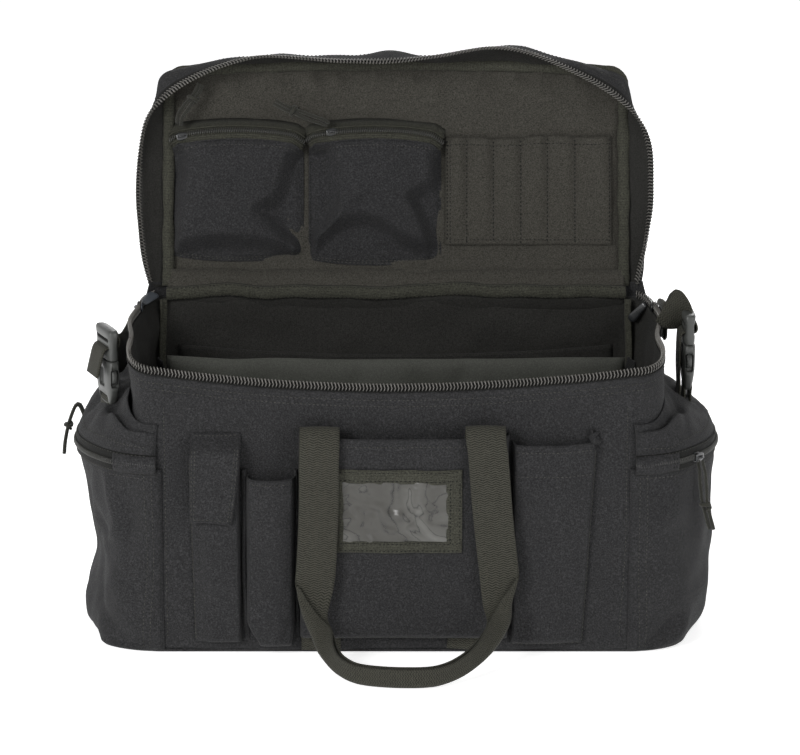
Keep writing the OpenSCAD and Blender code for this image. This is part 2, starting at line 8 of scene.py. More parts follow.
import bpy
import numpy as np
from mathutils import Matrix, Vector

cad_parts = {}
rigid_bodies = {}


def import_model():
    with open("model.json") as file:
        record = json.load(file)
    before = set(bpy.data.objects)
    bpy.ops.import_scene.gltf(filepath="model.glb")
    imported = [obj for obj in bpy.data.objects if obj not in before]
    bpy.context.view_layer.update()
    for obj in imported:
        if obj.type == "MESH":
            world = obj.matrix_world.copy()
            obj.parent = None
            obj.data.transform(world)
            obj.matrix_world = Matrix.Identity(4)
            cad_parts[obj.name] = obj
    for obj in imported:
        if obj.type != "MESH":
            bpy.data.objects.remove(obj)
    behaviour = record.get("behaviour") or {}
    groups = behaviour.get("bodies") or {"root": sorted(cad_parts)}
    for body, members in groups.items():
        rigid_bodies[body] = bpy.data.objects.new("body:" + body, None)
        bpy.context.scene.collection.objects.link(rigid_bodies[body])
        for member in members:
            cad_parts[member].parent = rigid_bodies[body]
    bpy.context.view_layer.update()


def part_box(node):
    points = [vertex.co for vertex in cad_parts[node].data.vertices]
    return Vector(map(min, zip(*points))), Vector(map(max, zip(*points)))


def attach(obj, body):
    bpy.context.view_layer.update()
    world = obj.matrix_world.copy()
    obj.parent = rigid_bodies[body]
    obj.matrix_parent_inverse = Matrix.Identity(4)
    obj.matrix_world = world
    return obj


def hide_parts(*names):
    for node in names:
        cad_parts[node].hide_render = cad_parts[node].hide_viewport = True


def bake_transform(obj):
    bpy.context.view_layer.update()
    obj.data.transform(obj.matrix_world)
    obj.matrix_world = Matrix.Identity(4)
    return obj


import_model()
MM = 0.001


# ---- sizes read from the frame ---------------------------------------------------------------


def low(node):
    return np.array(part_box(node)[0]) / MM


def high(node):
    return np.array(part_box(node)[1]) / MM


HALF_DEPTH = -low("front_panel")[1]
SEAM_X = high("front_panel")[0]
RIM_HALF = high("right_end_panel")[0]
CORNER = RIM_HALF - SEAM_X
SIDE_Y = HALF_DEPTH - CORNER
SEAM_HEIGHT = high("front_panel")[2]
FRONT_MID = SEAM_HEIGHT - 15
BACK_HEIGHT = high("back_panel")[2]
CORNER_HEIGHT = SEAM_HEIGHT + 8
SIDE_BACK_HEIGHT = BACK_HEIGHT - 8
HINGE_Y = HALF_DEPTH
HINGE_Z = BACK_HEIGHT + 4
LID_OPEN = math.radians(105)
ZIP_Z = high("left_end_zip")[2] - 3
END_REACH = high("right_end_zip")[0]
LID_HALF = high("lid_panel")[0]
WEBBING = 38.0


# ---- number helpers --------------------------------------------------------------------------


def lerp(a, b, t):
    return a + (b - a) * t


def ease(a, b, t):
    """0 before a, 1 after b, smooth between."""
    t = np.clip((np.asarray(t, float) - a) / (b - a), 0, 1)
    return t * t * (3 - 2 * t)


def hump(t, centre, width):
    return np.exp(-(((np.asarray(t, float) - centre) / width) ** 2))


def unit(v):
    return v / np.maximum(np.linalg.norm(v, axis=-1, keepdims=True), 1e-9)


def ripple(points, scale, seed, stretch=(1, 1, 1)):
    """Smooth seeded undulation, mostly in -1..1, over points in millimetres."""
    rng = np.random.default_rng(seed)
    p = np.asarray(points, float) / np.array(stretch, float)
    total = np.zeros(p.shape[:-1])
    for _ in range(9):
        way = unit(rng.normal(size=3))
        total += np.sin(p @ way * 2 * math.pi / (scale * rng.uniform(0.7, 1.5)) + rng.uniform(0, 2 * math.pi))
    return total / 3.2


def crease(u, v, start, end, depth, width, sharp=1.0):
    """A fold along a line in the plane of u and v: depth at the line, gone at its ends."""
    a, b = np.array(start, float), np.array(end, float)
    d = b - a
    t = np.clip(((u - a[0]) * d[0] + (v - a[1]) * d[1]) / (d @ d), 0, 1)
    away = np.hypot(u - a[0] - t * d[0], v - a[1] - t * d[1])
    along = np.sin(math.pi * np.clip(0.08 + 0.84 * t, 0, 1)) ** 0.6
    return depth * along * np.exp(-((away / width) ** (2 * sharp)))


def smooth_path(points, count):
    """Catmull-Rom curve through the points, with evenly spaced samples."""
    p = np.asarray(points, float)
    ends = np.vstack([2 * p[0] - p[1], p, 2 * p[-1] - p[-2]])
    out = []
    for i in range(1, len(ends) - 2):
        for t in np.linspace(0, 1, 16, endpoint=False):
            a, b, c, d = ends[i - 1], ends[i], ends[i + 1], ends[i + 2]
            out.append(0.5 * (2 * b + (c - a) * t + (2 * a - 5 * b + 4 * c - d) * t**2
                              + (3 * b - a - 3 * c + d) * t**3))
    out.append(ends[-2])
    return resample(np.array(out), count)


def lengths(path):
    return np.concatenate([[0], np.cumsum(np.linalg.norm(np.diff(path, axis=0), axis=1))])


def resample(path, count):
    s = lengths(path)
    t = np.linspace(0, s[-1], count)
    return np.stack([np.interp(t, s, path[:, k]) for k in range(path.shape[1])], axis=1)


def open_lid(p):
    """Points of the closed lid, swung to where the frame holds it open."""
    p = np.asarray(p, float)
    y, z = p[..., 1] - HINGE_Y, p[..., 2] - HINGE_Z
    c, s = math.cos(LID_OPEN), math.sin(LID_OPEN)
    return np.stack([p[..., 0], HINGE_Y + y * c + z * s, HINGE_Z - y * s + z * c], axis=-1)


# ---- materials -------------------------------------------------------------------------------


class Nodes:
    """A material's node tree, built by short calls."""

    def __init__(self, name, colour, rough, specular=0.3, sheen=0.0, coat=0.0):
        self.material = bpy.data.materials.new(name)
        self.material.use_nodes = True
        self.tree = self.material.node_tree
        self.shader = self.tree.nodes["Principled BSDF"]
        self.set(self.shader, {"Base Color": (*colour, 1), "Roughness": rough, "Specular IOR Level": specular,
                               "Sheen Weight": sheen, "Sheen Roughness": 0.45, "Coat Weight": coat})

    def set(self, node, values):
        for key, value in values.items():
            if isinstance(value, bpy.types.NodeSocket):
                self.tree.links.new(value, node.inputs[key])
            else:
                node.inputs[key].default_value = value

    def add(self, kind, values=None, **settings):
        node = self.tree.nodes.new(kind)
        for key, value in settings.items():
            setattr(node, key, value)
        self.set(node, values or {})
        return node

    def math(self, operation, a, b=0.0):
        return self.add("ShaderNodeMath", {0: a, 1: b}, operation=operation).outputs[0]

    def mix(self, factor, a, b):
        node = self.add("ShaderNodeMix", data_type="RGBA")
        self.set(node, {0: factor, 6: a, 7: b})
        return node.outputs[2]

    def noise(self, vector, scale, detail=3.0, rough=0.5):
        values = {"Vector": vector, "Scale": scale, "Detail": detail, "Roughness": rough}
        return self.add("ShaderNodeTexNoise", values).outputs[0]

    def place(self, space="UV"):
        """Two lengths across the surface in millimetres, and the point itself."""
        coord = self.add("ShaderNodeTexCoord")
        if space == "UV":
            split = self.add("ShaderNodeSeparateXYZ", {0: coord.outputs["UV"]})
            u, v = split.outputs[0], split.outputs[1]
        else:
            split = self.add("ShaderNodeSeparateXYZ", {0: coord.outputs["Object"]})
            u, v = split.outputs[0], split.outputs[2]
        return self.math("MULTIPLY", u, 1000.0), self.math("MULTIPLY", v, 1000.0), coord.outputs["Object"]

    def wave(self, value, pitch):
        return self.math("ABSOLUTE", self.math("SINE", self.math("MULTIPLY", value, math.pi / pitch)))

    def bump(self, height, strength, distance):
        values = {"Height": height, "Strength": strength, "Distance": distance * MM}
        node = self.add("ShaderNodeBump", values)
        self.set(self.shader, {"Normal": node.outputs[0]})


def woven(name, thread, gap, pitch, kind="plain", rough=0.82, sheen=0.03, relief=0.5, mottle=0.35, space="UV",
          contrast=0.75):
    """Cloth: threads over and under each other, slubs, and a slow drift of shade."""
    n = Nodes(name, thread, rough, specular=0.16, sheen=sheen)
    u, v, point = n.place(space)
    if kind == "plain":
        cell = n.add("ShaderNodeCombineXYZ", {0: n.math("DIVIDE", u, pitch), 1: n.math("DIVIDE", v, pitch)})
        over = n.add("ShaderNodeTexChecker", {"Vector": cell.outputs[0], "Scale": 1.0}).outputs[1]
        a, b = n.wave(u, pitch), n.wave(v, pitch)
        height = n.math("ADD", n.math("MULTIPLY", over, a),
                        n.math("MULTIPLY", n.math("SUBTRACT", 1.0, over), b))
    elif kind == "ribbed":
        height = n.wave(v, pitch)
    else:
        chevron = n.math("MULTIPLY", n.math("PINGPONG", u, pitch * 0.9), 0.8)
        height = n.wave(n.math("ADD", v, chevron), pitch)
    slub = n.noise(point, 1000.0, 2.0, 0.6)
    grain = n.noise(point, 560.0, 3.0, 0.7)
    drift = n.noise(point, 14.0, 3.0)
    level = n.math("ADD", n.math("MULTIPLY", n.math("SUBTRACT", height, 0.5), contrast),
                   n.math("MULTIPLY", n.math("SUBTRACT", slub, 0.5), 3.2))
    level = n.math("ADD", level, 0.45)
    colour = n.mix(level, (*gap, 1), (*thread, 1))
    pale = tuple(c * 2.3 for c in thread)
    dark = tuple(c * 0.55 for c in thread)
    colour = n.mix(n.math("MULTIPLY", n.math("SUBTRACT", grain, 0.48), 3.0 * mottle), colour, (*pale, 1))
    colour = n.mix(n.math("MULTIPLY", n.math("SUBTRACT", drift, 0.42), 0.9 * mottle), colour, (*dark, 1))
    n.set(n.shader, {"Base Color": colour})
    total = n.math("ADD", n.math("MULTIPLY", height, 0.7), n.math("MULTIPLY", slub, 0.9))
    total = n.math("ADD", total, n.math("MULTIPLY", grain, 1.4))
    n.bump(total, relief, 0.5)
    return n.material


def moulded(name, colour, rough, specular=0.5, grain=700.0, relief=0.15, coat=0.0):
    """Moulded plastic or cast metal: fine grain, uneven gloss and faint scuffs."""
    n = Nodes(name, colour, rough, specular=specular, coat=coat)
    point = n.place()[2]
    fine, slow = n.noise(point, grain, 2.0), n.noise(point, 60.0, 4.0, 0.6)
    pale = tuple(min(1, c * 1.7 + 0.01) for c in colour)
    scuff = n.math("MULTIPLY", n.math("SUBTRACT", slow, 0.5), 1.4)
    n.set(n.shader, {"Base Color": n.mix(scuff, (*colour, 1), (*pale, 1)),
                     "Roughness": n.math("ADD", n.math("MULTIPLY", slow, 0.25), rough - 0.12)})
    n.bump(n.math("ADD", fine, n.math("MULTIPLY", slow, 0.6)), relief, 0.25)
    return n.material


def braided(name, colour, gap):
    """Braided cord: two crossing sets of strands."""
    n = Nodes(name, colour, 0.75, specular=0.25, sheen=0.15)
    u, v, point = n.place()
    left = n.wave(n.math("ADD", n.math("MULTIPLY", v, 1.0), n.math("MULTIPLY", u, 0.9)), 1.5)
    right = n.wave(n.math("SUBTRACT", n.math("MULTIPLY", v, 1.0), n.math("MULTIPLY", u, 0.9)), 1.5)
    height = n.math("MULTIPLY", left, right)
    colour_out = n.mix(n.math("ADD", height, n.math("MULTIPLY", n.noise(point, 600.0), 0.4)), (*gap, 1),
                       (*colour, 1))
    n.set(n.shader, {"Base Color": colour_out})
    n.bump(height, 0.7, 0.4)
    return n.material


def vinyl(name):
    """Clear film with a soft gloss, and painted highlights in its colour."""
    n = Nodes(name, (0.10, 0.10, 0.09), 0.26, specular=0.35)
    point = n.place()[2]
    warped = n.add("ShaderNodeTexNoise",
                   {"Vector": point, "Scale": 17.0, "Detail": 2.5, "Distortion": 1.4}).outputs[0]
    # Painted highlights: the film's colour is paler in patches, with a darker line round each patch, in place
    # of its glossy reflections. The mask named lift marks these painted patches.
    painted_highlight_bands = n.math("PINGPONG", n.math("MULTIPLY", warped, 7.0), 0.5)
    line = n.math("POWER", n.math("SUBTRACT", 1.0, n.math("MULTIPLY", painted_highlight_bands, 2.0)), 9.0)
    lift = n.math("POWER", n.math("MULTIPLY", warped, 1.3), 3.0)
    shade = n.mix(lift, (0.052, 0.050, 0.045, 1), (0.150, 0.150, 0.140, 1))
    n.set(n.shader, {"Base Color": n.mix(n.math("MULTIPLY", line, 0.75), shade, (0.020, 0.020, 0.020, 1)),
                     "Alpha": 0.9})
    n.bump(warped, 0.35, 1.4)
    return n.material


CANVAS = (0.0255, 0.0255, 0.0262)
LINING = (0.050, 0.0475, 0.0400)
OLIVE = (0.044, 0.0430, 0.0340)
MATERIALS = {
    "outer_cloth": woven("canvas", CANVAS, (0.0065, 0.0065, 0.0072), 1.15, mottle=0.85, relief=0.6),
    "lining_cloth": woven("lining", LINING, (0.013, 0.012, 0.0095), 0.9, mottle=0.35, relief=0.4),
    # Painted shade: a darker copy of the lining for surfaces inside the bag, under the hinge binding, in the
    # back pocket and inside the lid's gusset, where shade falls.
    "lining_painted_shade": woven("lining_painted_shade", (0.023, 0.0225, 0.0205), (0.008, 0.008, 0.007), 0.9, mottle=0.35,
                         relief=0.4),
    "divider": woven("divider_cloth", (0.056, 0.058, 0.050), (0.033, 0.034, 0.029), 0.6, rough=0.62,
                     relief=0.25,
                     mottle=0.2, space="OBJECT"),
    "webbing": woven("webbing", OLIVE, (0.007, 0.007, 0.005), 2.3, kind="chevron", relief=0.9, mottle=0.25,
                     contrast=1.9),
    "binding_tape": woven("grosgrain", (0.048, 0.048, 0.037), (0.013, 0.013, 0.010), 1.6, kind="ribbed",
                          relief=0.8, mottle=0.45),
    "zip_tape": woven("zip_tape", (0.011, 0.011, 0.010), (0.004, 0.004, 0.004), 0.8, relief=0.4),
    "zip": moulded("zip_coil", (0.098, 0.093, 0.084), 0.30, specular=0.7, relief=0.05),
    "zip_dark": moulded("zip_coil_dark", (0.040, 0.040, 0.036), 0.38, relief=0.05),
    "slider_metal": moulded("slider_enamel", (0.011, 0.012, 0.013), 0.3, specular=0.6, relief=0.1, coat=0.3),
    "slider_grey": moulded("slider_grey", (0.036, 0.041, 0.048), 0.34, specular=0.5, relief=0.1),
    "pull_cord": braided("pull_cord", (0.027, 0.027, 0.020), (0.009, 0.009, 0.006)),
    "buckle_plastic": moulded("acetal", (0.046, 0.048, 0.045), 0.42, specular=0.45, relief=0.25),
    "thread": woven("thread", (0.082, 0.082, 0.072), (0.03, 0.03, 0.026), 0.5, relief=0.3),
    "thread_dark": woven("thread_dark", (0.010, 0.010, 0.010), (0.004, 0.004, 0.004), 0.5, relief=0.3),
    "hook_tape": woven("hook_tape", (0.009, 0.009, 0.009), (0.003, 0.003, 0.003), 1.3, relief=0.9),
    "clear_film": vinyl("clear_film"),
    "board": moulded("board", (0.02, 0.02, 0.02), 0.6),
}


# ---- mesh makers -----------------------------------------------------------------------------


def make(name, points, faces, body, kind, uvs=None, replaced=()):
    mesh = bpy.data.meshes.new(name)
    mesh.from_pydata((np.asarray(points, float) * MM).tolist(), [], [list(map(int, f)) for f in faces])
    if uvs is not None:
        layer = mesh.uv_layers.new(name="UVMap")
        layer.data.foreach_set("uv", (np.asarray(uvs, float) * MM).ravel())
    mesh.polygons.foreach_set("use_smooth", [True] * len(mesh.polygons))
    mesh.materials.append(MATERIALS[kind])
    obj = bpy.data.objects.new(name, mesh)
    bpy.context.scene.collection.objects.link(obj)
    if body:
        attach(obj, body)
    if replaced:
        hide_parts(*replaced)
    return obj


def spans(grid):
    """Lengths along the middle row and column of a grid of points."""
    rows, cols = grid.shape[:2]
    return lengths(grid[rows // 2]), lengths(grid[:, cols // 2])


def normals_of(grid, wrap=False):
    if wrap:
        du = np.roll(grid, -1, axis=1) - np.roll(grid, 1, axis=1)
    else:
        du = np.gradient(grid, axis=1)
    return unit(np.cross(du, np.gradient(grid, axis=0)))


class Sheet:
    """A cloth piece: its outer grid and the normals of that grid, for what is sewn to it."""

    def __init__(self, obj, grid, normals, body):
        self.obj, self.grid, self.normals, self.body = obj, grid, normals, body

    def at(self, u, v, lift=0.0):
        """Points at shares u of the columns and v of the rows."""
        rows, cols = self.grid.shape[:2]
        c = np.clip(np.asarray(u, float), 0, 1) * (cols - 1)
        r = np.clip(np.asarray(v, float), 0, 1) * (rows - 1)
        c0, r0 = np.minimum(c.astype(int), cols - 2), np.minimum(r.astype(int), rows - 2)
        fc, fr = (c - c0)[..., None], (r - r0)[..., None]

        def pick(g):
            return lerp(lerp(g[r0, c0], g[r0, c0 + 1], fc), lerp(g[r0 + 1, c0], g[r0 + 1, c0 + 1], fc), fr)

        return pick(self.grid) + lift * unit(pick(self.normals)), unit(pick(self.normals))

    def sew(self, u0, v0, u1, v1, **how):
        t = np.linspace(0, 1, 60)
        p, n = self.at(lerp(u0, u1, t), lerp(v0, v1, t))
        sew(p, n, self.body, **how)


def cloth(name, grid, body, kind, thickness=1.2, wrap=False, replaced=()):
    """A sheet of cloth with a thickness, its face on the u x v side of the grid."""
    normals = normals_of(grid, wrap)
    rows, cols = grid.shape[:2]
    inner = grid - normals * thickness
    us, vs = spans(grid)
    if wrap:
        us = np.append(us, us[-1] + us[1])
    at = np.arange(rows * cols).reshape(rows, cols)
    if wrap:
        at = np.hstack([at, at[:, :1]])
    back = at + rows * cols
    uv = np.stack(np.meshgrid(us, vs), axis=-1)
    faces, corners = [], []

    def quads(a, b, c, d, ua, ub, uc, ud):
        faces.append(np.stack([a, b, c, d], axis=-1).reshape(-1, 4))
        corners.append(np.stack([ua, ub, uc, ud], axis=-2).reshape(-1, 8))

    quads(at[:-1, :-1], at[:-1, 1:], at[1:, 1:], at[1:, :-1], uv[:-1, :-1], uv[:-1, 1:], uv[1:, 1:],
          uv[1:, :-1])
    quads(back[:-1, :-1], back[1:, :-1], back[1:, 1:], back[:-1, 1:], uv[:-1, :-1], uv[1:, :-1], uv[1:, 1:],
          uv[:-1, 1:])
    quads(at[0, :-1], back[0, :-1], back[0, 1:], at[0, 1:], uv[0, :-1], uv[0, :-1], uv[0, 1:], uv[0, 1:])
    quads(at[-1, 1:], back[-1, 1:], back[-1, :-1], at[-1, :-1], uv[-1, 1:], uv[-1, 1:], uv[-1, :-1],
          uv[-1, :-1])
    if not wrap:
        quads(at[:-1, 0], at[1:, 0], back[1:, 0], back[:-1, 0], uv[:-1, 0], uv[1:, 0], uv[1:, 0], uv[:-1, 0])
        quads(at[1:, -1], at[:-1, -1], back[:-1, -1], back[1:, -1], uv[1:, -1], uv[:-1, -1], uv[:-1, -1],
              uv[1:, -1])
    points = np.vstack([grid.reshape(-1, 3), inner.reshape(-1, 3)])
    obj = make(name, points, np.vstack(faces), body, kind, np.vstack(corners).reshape(-1, 2), replaced)
    return Sheet(obj, grid, normals, body)


def ribbon(name, path, across, width, thickness, body, kind, replaced=(), crown=0.0, cols=7):
    """Webbing or tape: a strip along a path, its middle crowned above its edges."""
    path, across = np.asarray(path, float), np.asarray(across, float)
    along = unit(np.gradient(path, axis=0))
    side = unit(across - along * np.sum(across * along, axis=1, keepdims=True))
    face = np.cross(side, along)
    t = np.linspace(-1, 1, cols)
    grid = path[:, None] + side[:, None] * (t * width / 2)[None, :, None]
    grid = grid + face[:, None] * (thickness / 2 + crown * (1 - t**2))[None, :, None]
    return cloth(name, grid, body, kind, thickness, replaced=replaced)


def tube_mesh(path, radius, sides, reference=None, caps=True):
    """Points, faces and corner lengths of a round tube along a path."""
    path = np.asarray(path, float)
    along = unit(np.gradient(path, axis=0))
    if reference is None:
        reference = np.tile([0.13, 0.31, 0.94], (len(path), 1))
    side = unit(np.cross(along, reference))
    up = np.cross(side, along)
    angle = np.linspace(0, 2 * math.pi, sides, endpoint=False)
    radius = np.broadcast_to(np.asarray(radius, float), (len(path),))
    ring = side[:, None] * np.cos(angle)[None, :, None] + up[:, None] * np.sin(angle)[None, :, None]
    points = (path[:, None] + ring * radius[:, None, None]).reshape(-1, 3)
    at = np.arange(len(path) * sides).reshape(len(path), sides)
    nxt = np.roll(at, -1, axis=1)
    faces = np.stack([at[:-1], at[1:], nxt[1:], nxt[:-1]], axis=-1).reshape(-1, 4)
    s = lengths(path)
    u = np.arange(sides) * 2 * math.pi * radius.max() / sides
    step = u[1] - u[0]
    uu, ss = np.meshgrid(u, s)
    uv = np.stack([np.stack([uu[:-1], ss[:-1]], -1), np.stack([uu[1:], ss[1:]], -1),
                   np.stack([uu[1:] + step, ss[1:]], -1), np.stack([uu[:-1] + step, ss[:-1]], -1)], axis=2)
    faces, uv = faces.tolist(), uv.reshape(-1, 2).tolist()
    if caps:
        faces += [at[0].tolist(), at[-1][::-1].tolist()]
        uv += [[0, 0]] * (2 * sides)
    return points, faces, uv


def tube(name, path, radius, body, kind, sides=10, replaced=()):
    points, faces, uv = tube_mesh(path, radius, sides)
    return make(name, points, faces, body, kind, uv, replaced)


def join_meshes(parts):
    points, faces, uv, start = [], [], [], 0
    for p, f, c in parts:
        points.append(np.asarray(p))
        faces += [[i + start for i in face] for face in f]
        uv += list(c)
        start += len(p)
    return np.vstack(points), faces, uv


def coil(name, path, edge, face, body, kind="zip", height=6.0, depth=3.0, pitch=2.7, wire=0.62, replaced=()):
    """A zip's coil: one wire wound round the tape's edge. edge points off the tape, face off its front."""
    path = np.asarray(path, float)
    turns = lengths(path)[-1] / pitch
    count = int(turns * 10)
    s = np.linspace(0, 1, count)
    where = np.linspace(0, 1, len(path))
    line, edge, face = (np.stack([np.interp(s, where, np.asarray(a, float)[:, k]) for k in range(3)], 1)
                        for a in (resample(path, len(path)), edge, face))
    angle = s * turns * 2 * math.pi
    wind = line + unit(edge) * (np.cos(angle) * height / 2)[:,
                                                            None] + unit(face) * (np.sin(angle)
                                                                                  * depth / 2)[:, None]
    points, faces, uv = tube_mesh(wind, wire, 5, reference=unit(np.gradient(line, axis=0)))
    return make(name, points, faces, body, kind, uv, replaced)


stitches = {}


def sew(path, normals, body, kind="thread", length=2.5, gap=1.6, radius=0.42):
    """Adds a line of stitches, made into one piece for each body at the end."""
    path, normals = np.asarray(path, float), np.asarray(normals, float)
    s = lengths(path)
    starts = np.arange(gap, s[-1] - length, length + gap)
    if not len(starts):
        return

    def at(t, a):
        return np.stack([np.interp(t, s, a[:, k]) for k in range(3)], axis=1)

    a, b = at(starts, path), at(starts + length, path)
    n = unit(at(starts + length / 2, normals))
    d = unit(b - a)
    side = np.cross(d, n)
    rings = [a - n * 0.3]
    for t in (0.25, 0.75):
        c = lerp(a, b, t) + n * 0.15
        rings += [c + side * radius, c + n * radius, c - side * radius, c - n * radius]
    rings.append(b - n * 0.3)
    points = np.stack(rings, axis=1).reshape(-1, 3)
    pattern = [[0, 1, 2], [0, 2, 3], [0, 3, 4], [0, 4, 1], [9, 6, 5], [9, 7, 6], [9, 8, 7], [9, 5, 8],
               [1, 5, 6, 2], [2, 6, 7, 3], [3, 7, 8, 4], [4, 8, 5, 1]]
    faces = [[k + 10 * i for k in f] for i in range(len(starts)) for f in pattern]
    stitches.setdefault((body, kind), []).append((points, faces, [[0, 0]] * sum(map(len, faces))))


def make_stitches():
    for (body, kind), parts in stitches.items():
        points, faces, uv = join_meshes(parts)
        make(f"stitches_{kind}_{body}", points, faces, body, kind, uv)


def loft(sections, sides=28, power=4.0):
    """A closed form through rounded rectangles: (centre, half width, half thickness) up the z axis."""
    angle = np.linspace(0, 2 * math.pi, sides, endpoint=False)
    c, s = np.cos(angle), np.sin(angle)
    shape = np.stack([np.sign(c) * np.abs(c) ** (2 / power), np.sign(s) * np.abs(s) ** (2 / power)], axis=1)
    rows = [np.column_stack([x + shape[:, 0] * w, y + shape[:, 1] * t, np.full(sides, z)]) for x, y, z, w,
            t in sections]
    at = np.arange(len(rows) * sides).reshape(len(rows), sides)
    nxt = np.roll(at, -1, axis=1)
    faces = np.stack([at[:-1], nxt[:-1], nxt[1:], at[1:]], axis=-1).reshape(-1, 4).tolist()
    faces += [at[0][::-1].tolist(), at[-1].tolist()]
    return np.vstack(rows), faces


def rounded_block(cx, cy, z0, z1, w, t, r=1.2, power=5.0, sides=28):
    """A moulded block with soft edges at both ends."""
    k = [(z0, r), (z0 + 0.3 * r, 0.45 * r), (z0 + r, 0), (z1 - r, 0), (z1 - 0.3 * r, 0.45 * r), (z1, r)]
    return loft([(cx, cy, z, w - d, t - d) for z, d in k], sides, power)


# ---- camera, floor and light -----------------------------------------------------------------

CAMERA_TILT = math.radians(13.7)
CAMERA_DISTANCE = 3.0
AIM = Vector((0.004, 0.0, 0.2441))

camera_data = bpy.data.cameras.new("camera")
camera_data.lens = 137.1
camera_data.sensor_width = 36.0
camera = bpy.data.objects.new("camera", camera_data)
camera.location = AIM + Vector((0, -math.cos(CAMERA_TILT), math.sin(CAMERA_TILT))) * CAMERA_DISTANCE
camera.rotation_euler = (math.pi / 2 - CAMERA_TILT, 0, 0)
bpy.context.scene.collection.objects.link(camera)
bpy.context.scene.camera = camera


def area_light(name, place, aim, size, power):
    data = bpy.data.lights.new(name, "AREA")
    data.size, data.energy = size, power
    light = bpy.data.objects.new(name, data)
    light.location = place
    light.rotation_euler = (Vector(aim) - Vector(place)).to_track_quat("-Z", "Y").to_euler()
    bpy.context.scene.collection.objects.link(light)


area_light("key", (-1.9, -2.5, 1.6), (0, 0, 0.22), 1.1, 66)
area_light("fill", (2.2, -2.3, 0.9), (0, 0, 0.22), 1.4, 22)
area_light("top", (-0.3, 0.3, 2.6), (0, 0, 0.25), 1.6, 10)
area_light("back", (0.4, 2.8, 1.6), (0, 0, 0.25), 1.8, 36)
# The sky is bright near the horizon and dim overhead, so upright faces are lit more than flat ones.
world = bpy.data.worlds.new("studio")
world.use_nodes = True
sky = world.node_tree
coord = sky.nodes.new("ShaderNodeTexCoord")
split = sky.nodes.new("ShaderNodeSeparateXYZ")
ramp = sky.nodes.new("ShaderNodeValToRGB")
sky.links.new(coord.outputs["Generated"], split.inputs[0])
sky.links.new(split.outputs[2], ramp.inputs[0])
ramp.color_ramp.elements[0].position, ramp.color_ramp.elements[0].color = 0.12, (1, 1, 1, 1)
ramp.color_ramp.elements[1].position, ramp.color_ramp.elements[1].color = 0.65, (0.28, 0.28, 0.28, 1)
sky.links.new(ramp.outputs[0], sky.nodes["Background"].inputs[0])
sky.nodes["Background"].inputs[1].default_value = 0.95
bpy.context.scene.world = world
bpy.context.scene.view_settings.view_transform = "Standard"

floor_mesh = bpy.data.meshes.new("floor")
FLOOR = 9.0
floor_mesh.from_pydata([(-FLOOR, -FLOOR, -0.0008), (FLOOR, -FLOOR, -0.0008), (FLOOR, FLOOR, -0.0008),
                        (-FLOOR, FLOOR, -0.0008)],
                       [], [(0, 1, 2, 3)])
floor = bpy.data.objects.new("floor", floor_mesh)
bpy.context.scene.collection.objects.link(floor)
floor_paint = Nodes("floor_paint", (0.80, 0.80, 0.80), 0.9, specular=0.1)
floor_paint.set(floor_paint.shader, {"Emission Color": (1, 1, 1, 1), "Emission Strength": 0.72})
floor_mesh.materials.append(floor_paint.material)


# ---- zip pulls: each a cord folded in half through its slider, with one knot -----------------

PULL = 3.6
RIGHT_PULL = [(292.6, -90.4, 184.5), (293, -91, 180), (294.5, -93, 174), (295, -94, 165), (296, -96, 155),
              (297, -97, 144), (300, -98, 132), (304, -99, 118)]
LEFT_PULL = [(-311.5, 53.6, 186), (-314, 54, 194), (-318, 54, 203), (-322, 53, 202), (-326, 52, 193),
             (-329, 51, 184), (-331, 50, 176), (-333, 49, 165), (-334, 48, 154)]
LID_ZIP_Z = HINGE_Z + 2 - 13
LID_PULLS = {
    "left_lid": [(-220, -50, LID_ZIP_Z - 6), (-219, -58, LID_ZIP_Z - 6), (-214, -66, LID_ZIP_Z - 6),
                 (-208, -74, LID_ZIP_Z - 6), (-202, -82, LID_ZIP_Z - 6), (-198, -91, LID_ZIP_Z - 6)],
    "middle_lid": [(-69, -50, LID_ZIP_Z - 7), (-77, -53, LID_ZIP_Z - 10.5), (-89, -57, LID_ZIP_Z - 12),
                   (-101, -62, LID_ZIP_Z - 12), (-112, -66, LID_ZIP_Z - 12), (-123, -72, LID_ZIP_Z - 12)],
}


def pull(name, route, spread, knot_at, body, node):
    """Two halves of a folded cord side by side, and the knot that ties them together."""
    route = smooth_path(route, 26)
    spread = np.asarray(spread, float)
    # The halves bow apart between the slider and the knot, and lie close from there on.
    t = np.linspace(0, 1, len(route))
    parting = lerp(0.98, 1.0, t) + 0.42 * np.sin(math.pi * np.clip(t / knot_at, 0, 1))
    centre = route[int(knot_at * (len(route) - 1))]
    along = unit(np.gradient(route, axis=0))[int(knot_at * (len(route) - 1))]
    side = unit(spread)
    up = np.cross(along, side)
    turn = np.linspace(0, 2.2 * 2 * math.pi, 64)
    wrap = centre + side * (np.cos(turn) * 4.8)[:, None] + up * (np.sin(turn) * 3.4)[:, None]
    wrap = wrap + along * (np.linspace(-3.0, 3.0, 64) + 1.3 * np.sin(turn * 0.5))[:, None]
    knot = tube(f"{name}_knot", wrap, 1.45, body, "pull_cord")
    for half, sign in (("a", 1), ("b", -1)):
        line = route + spread * sign * parting[:, None]
        curve = bpy.data.curves.new(f"{name}_pull_{half}", "CURVE")
        curve.dimensions = "3D"
        curve.bevel_depth = PULL / 2 * MM
        curve.bevel_resolution = 3
        curve.use_fill_caps = True
        spline = curve.splines.new("POLY")
        spline.points.add(len(line) - 1)
        for point, place in zip(spline.points, line * MM):
            point.co = (*place, 1)
        curve.materials.append(MATERIALS["pull_cord"])
        cord = bpy.data.objects.new(f"{name}_pull_{half}", curve)
        bpy.context.scene.collection.objects.link(cord)
        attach(cord, body)
        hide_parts(node)


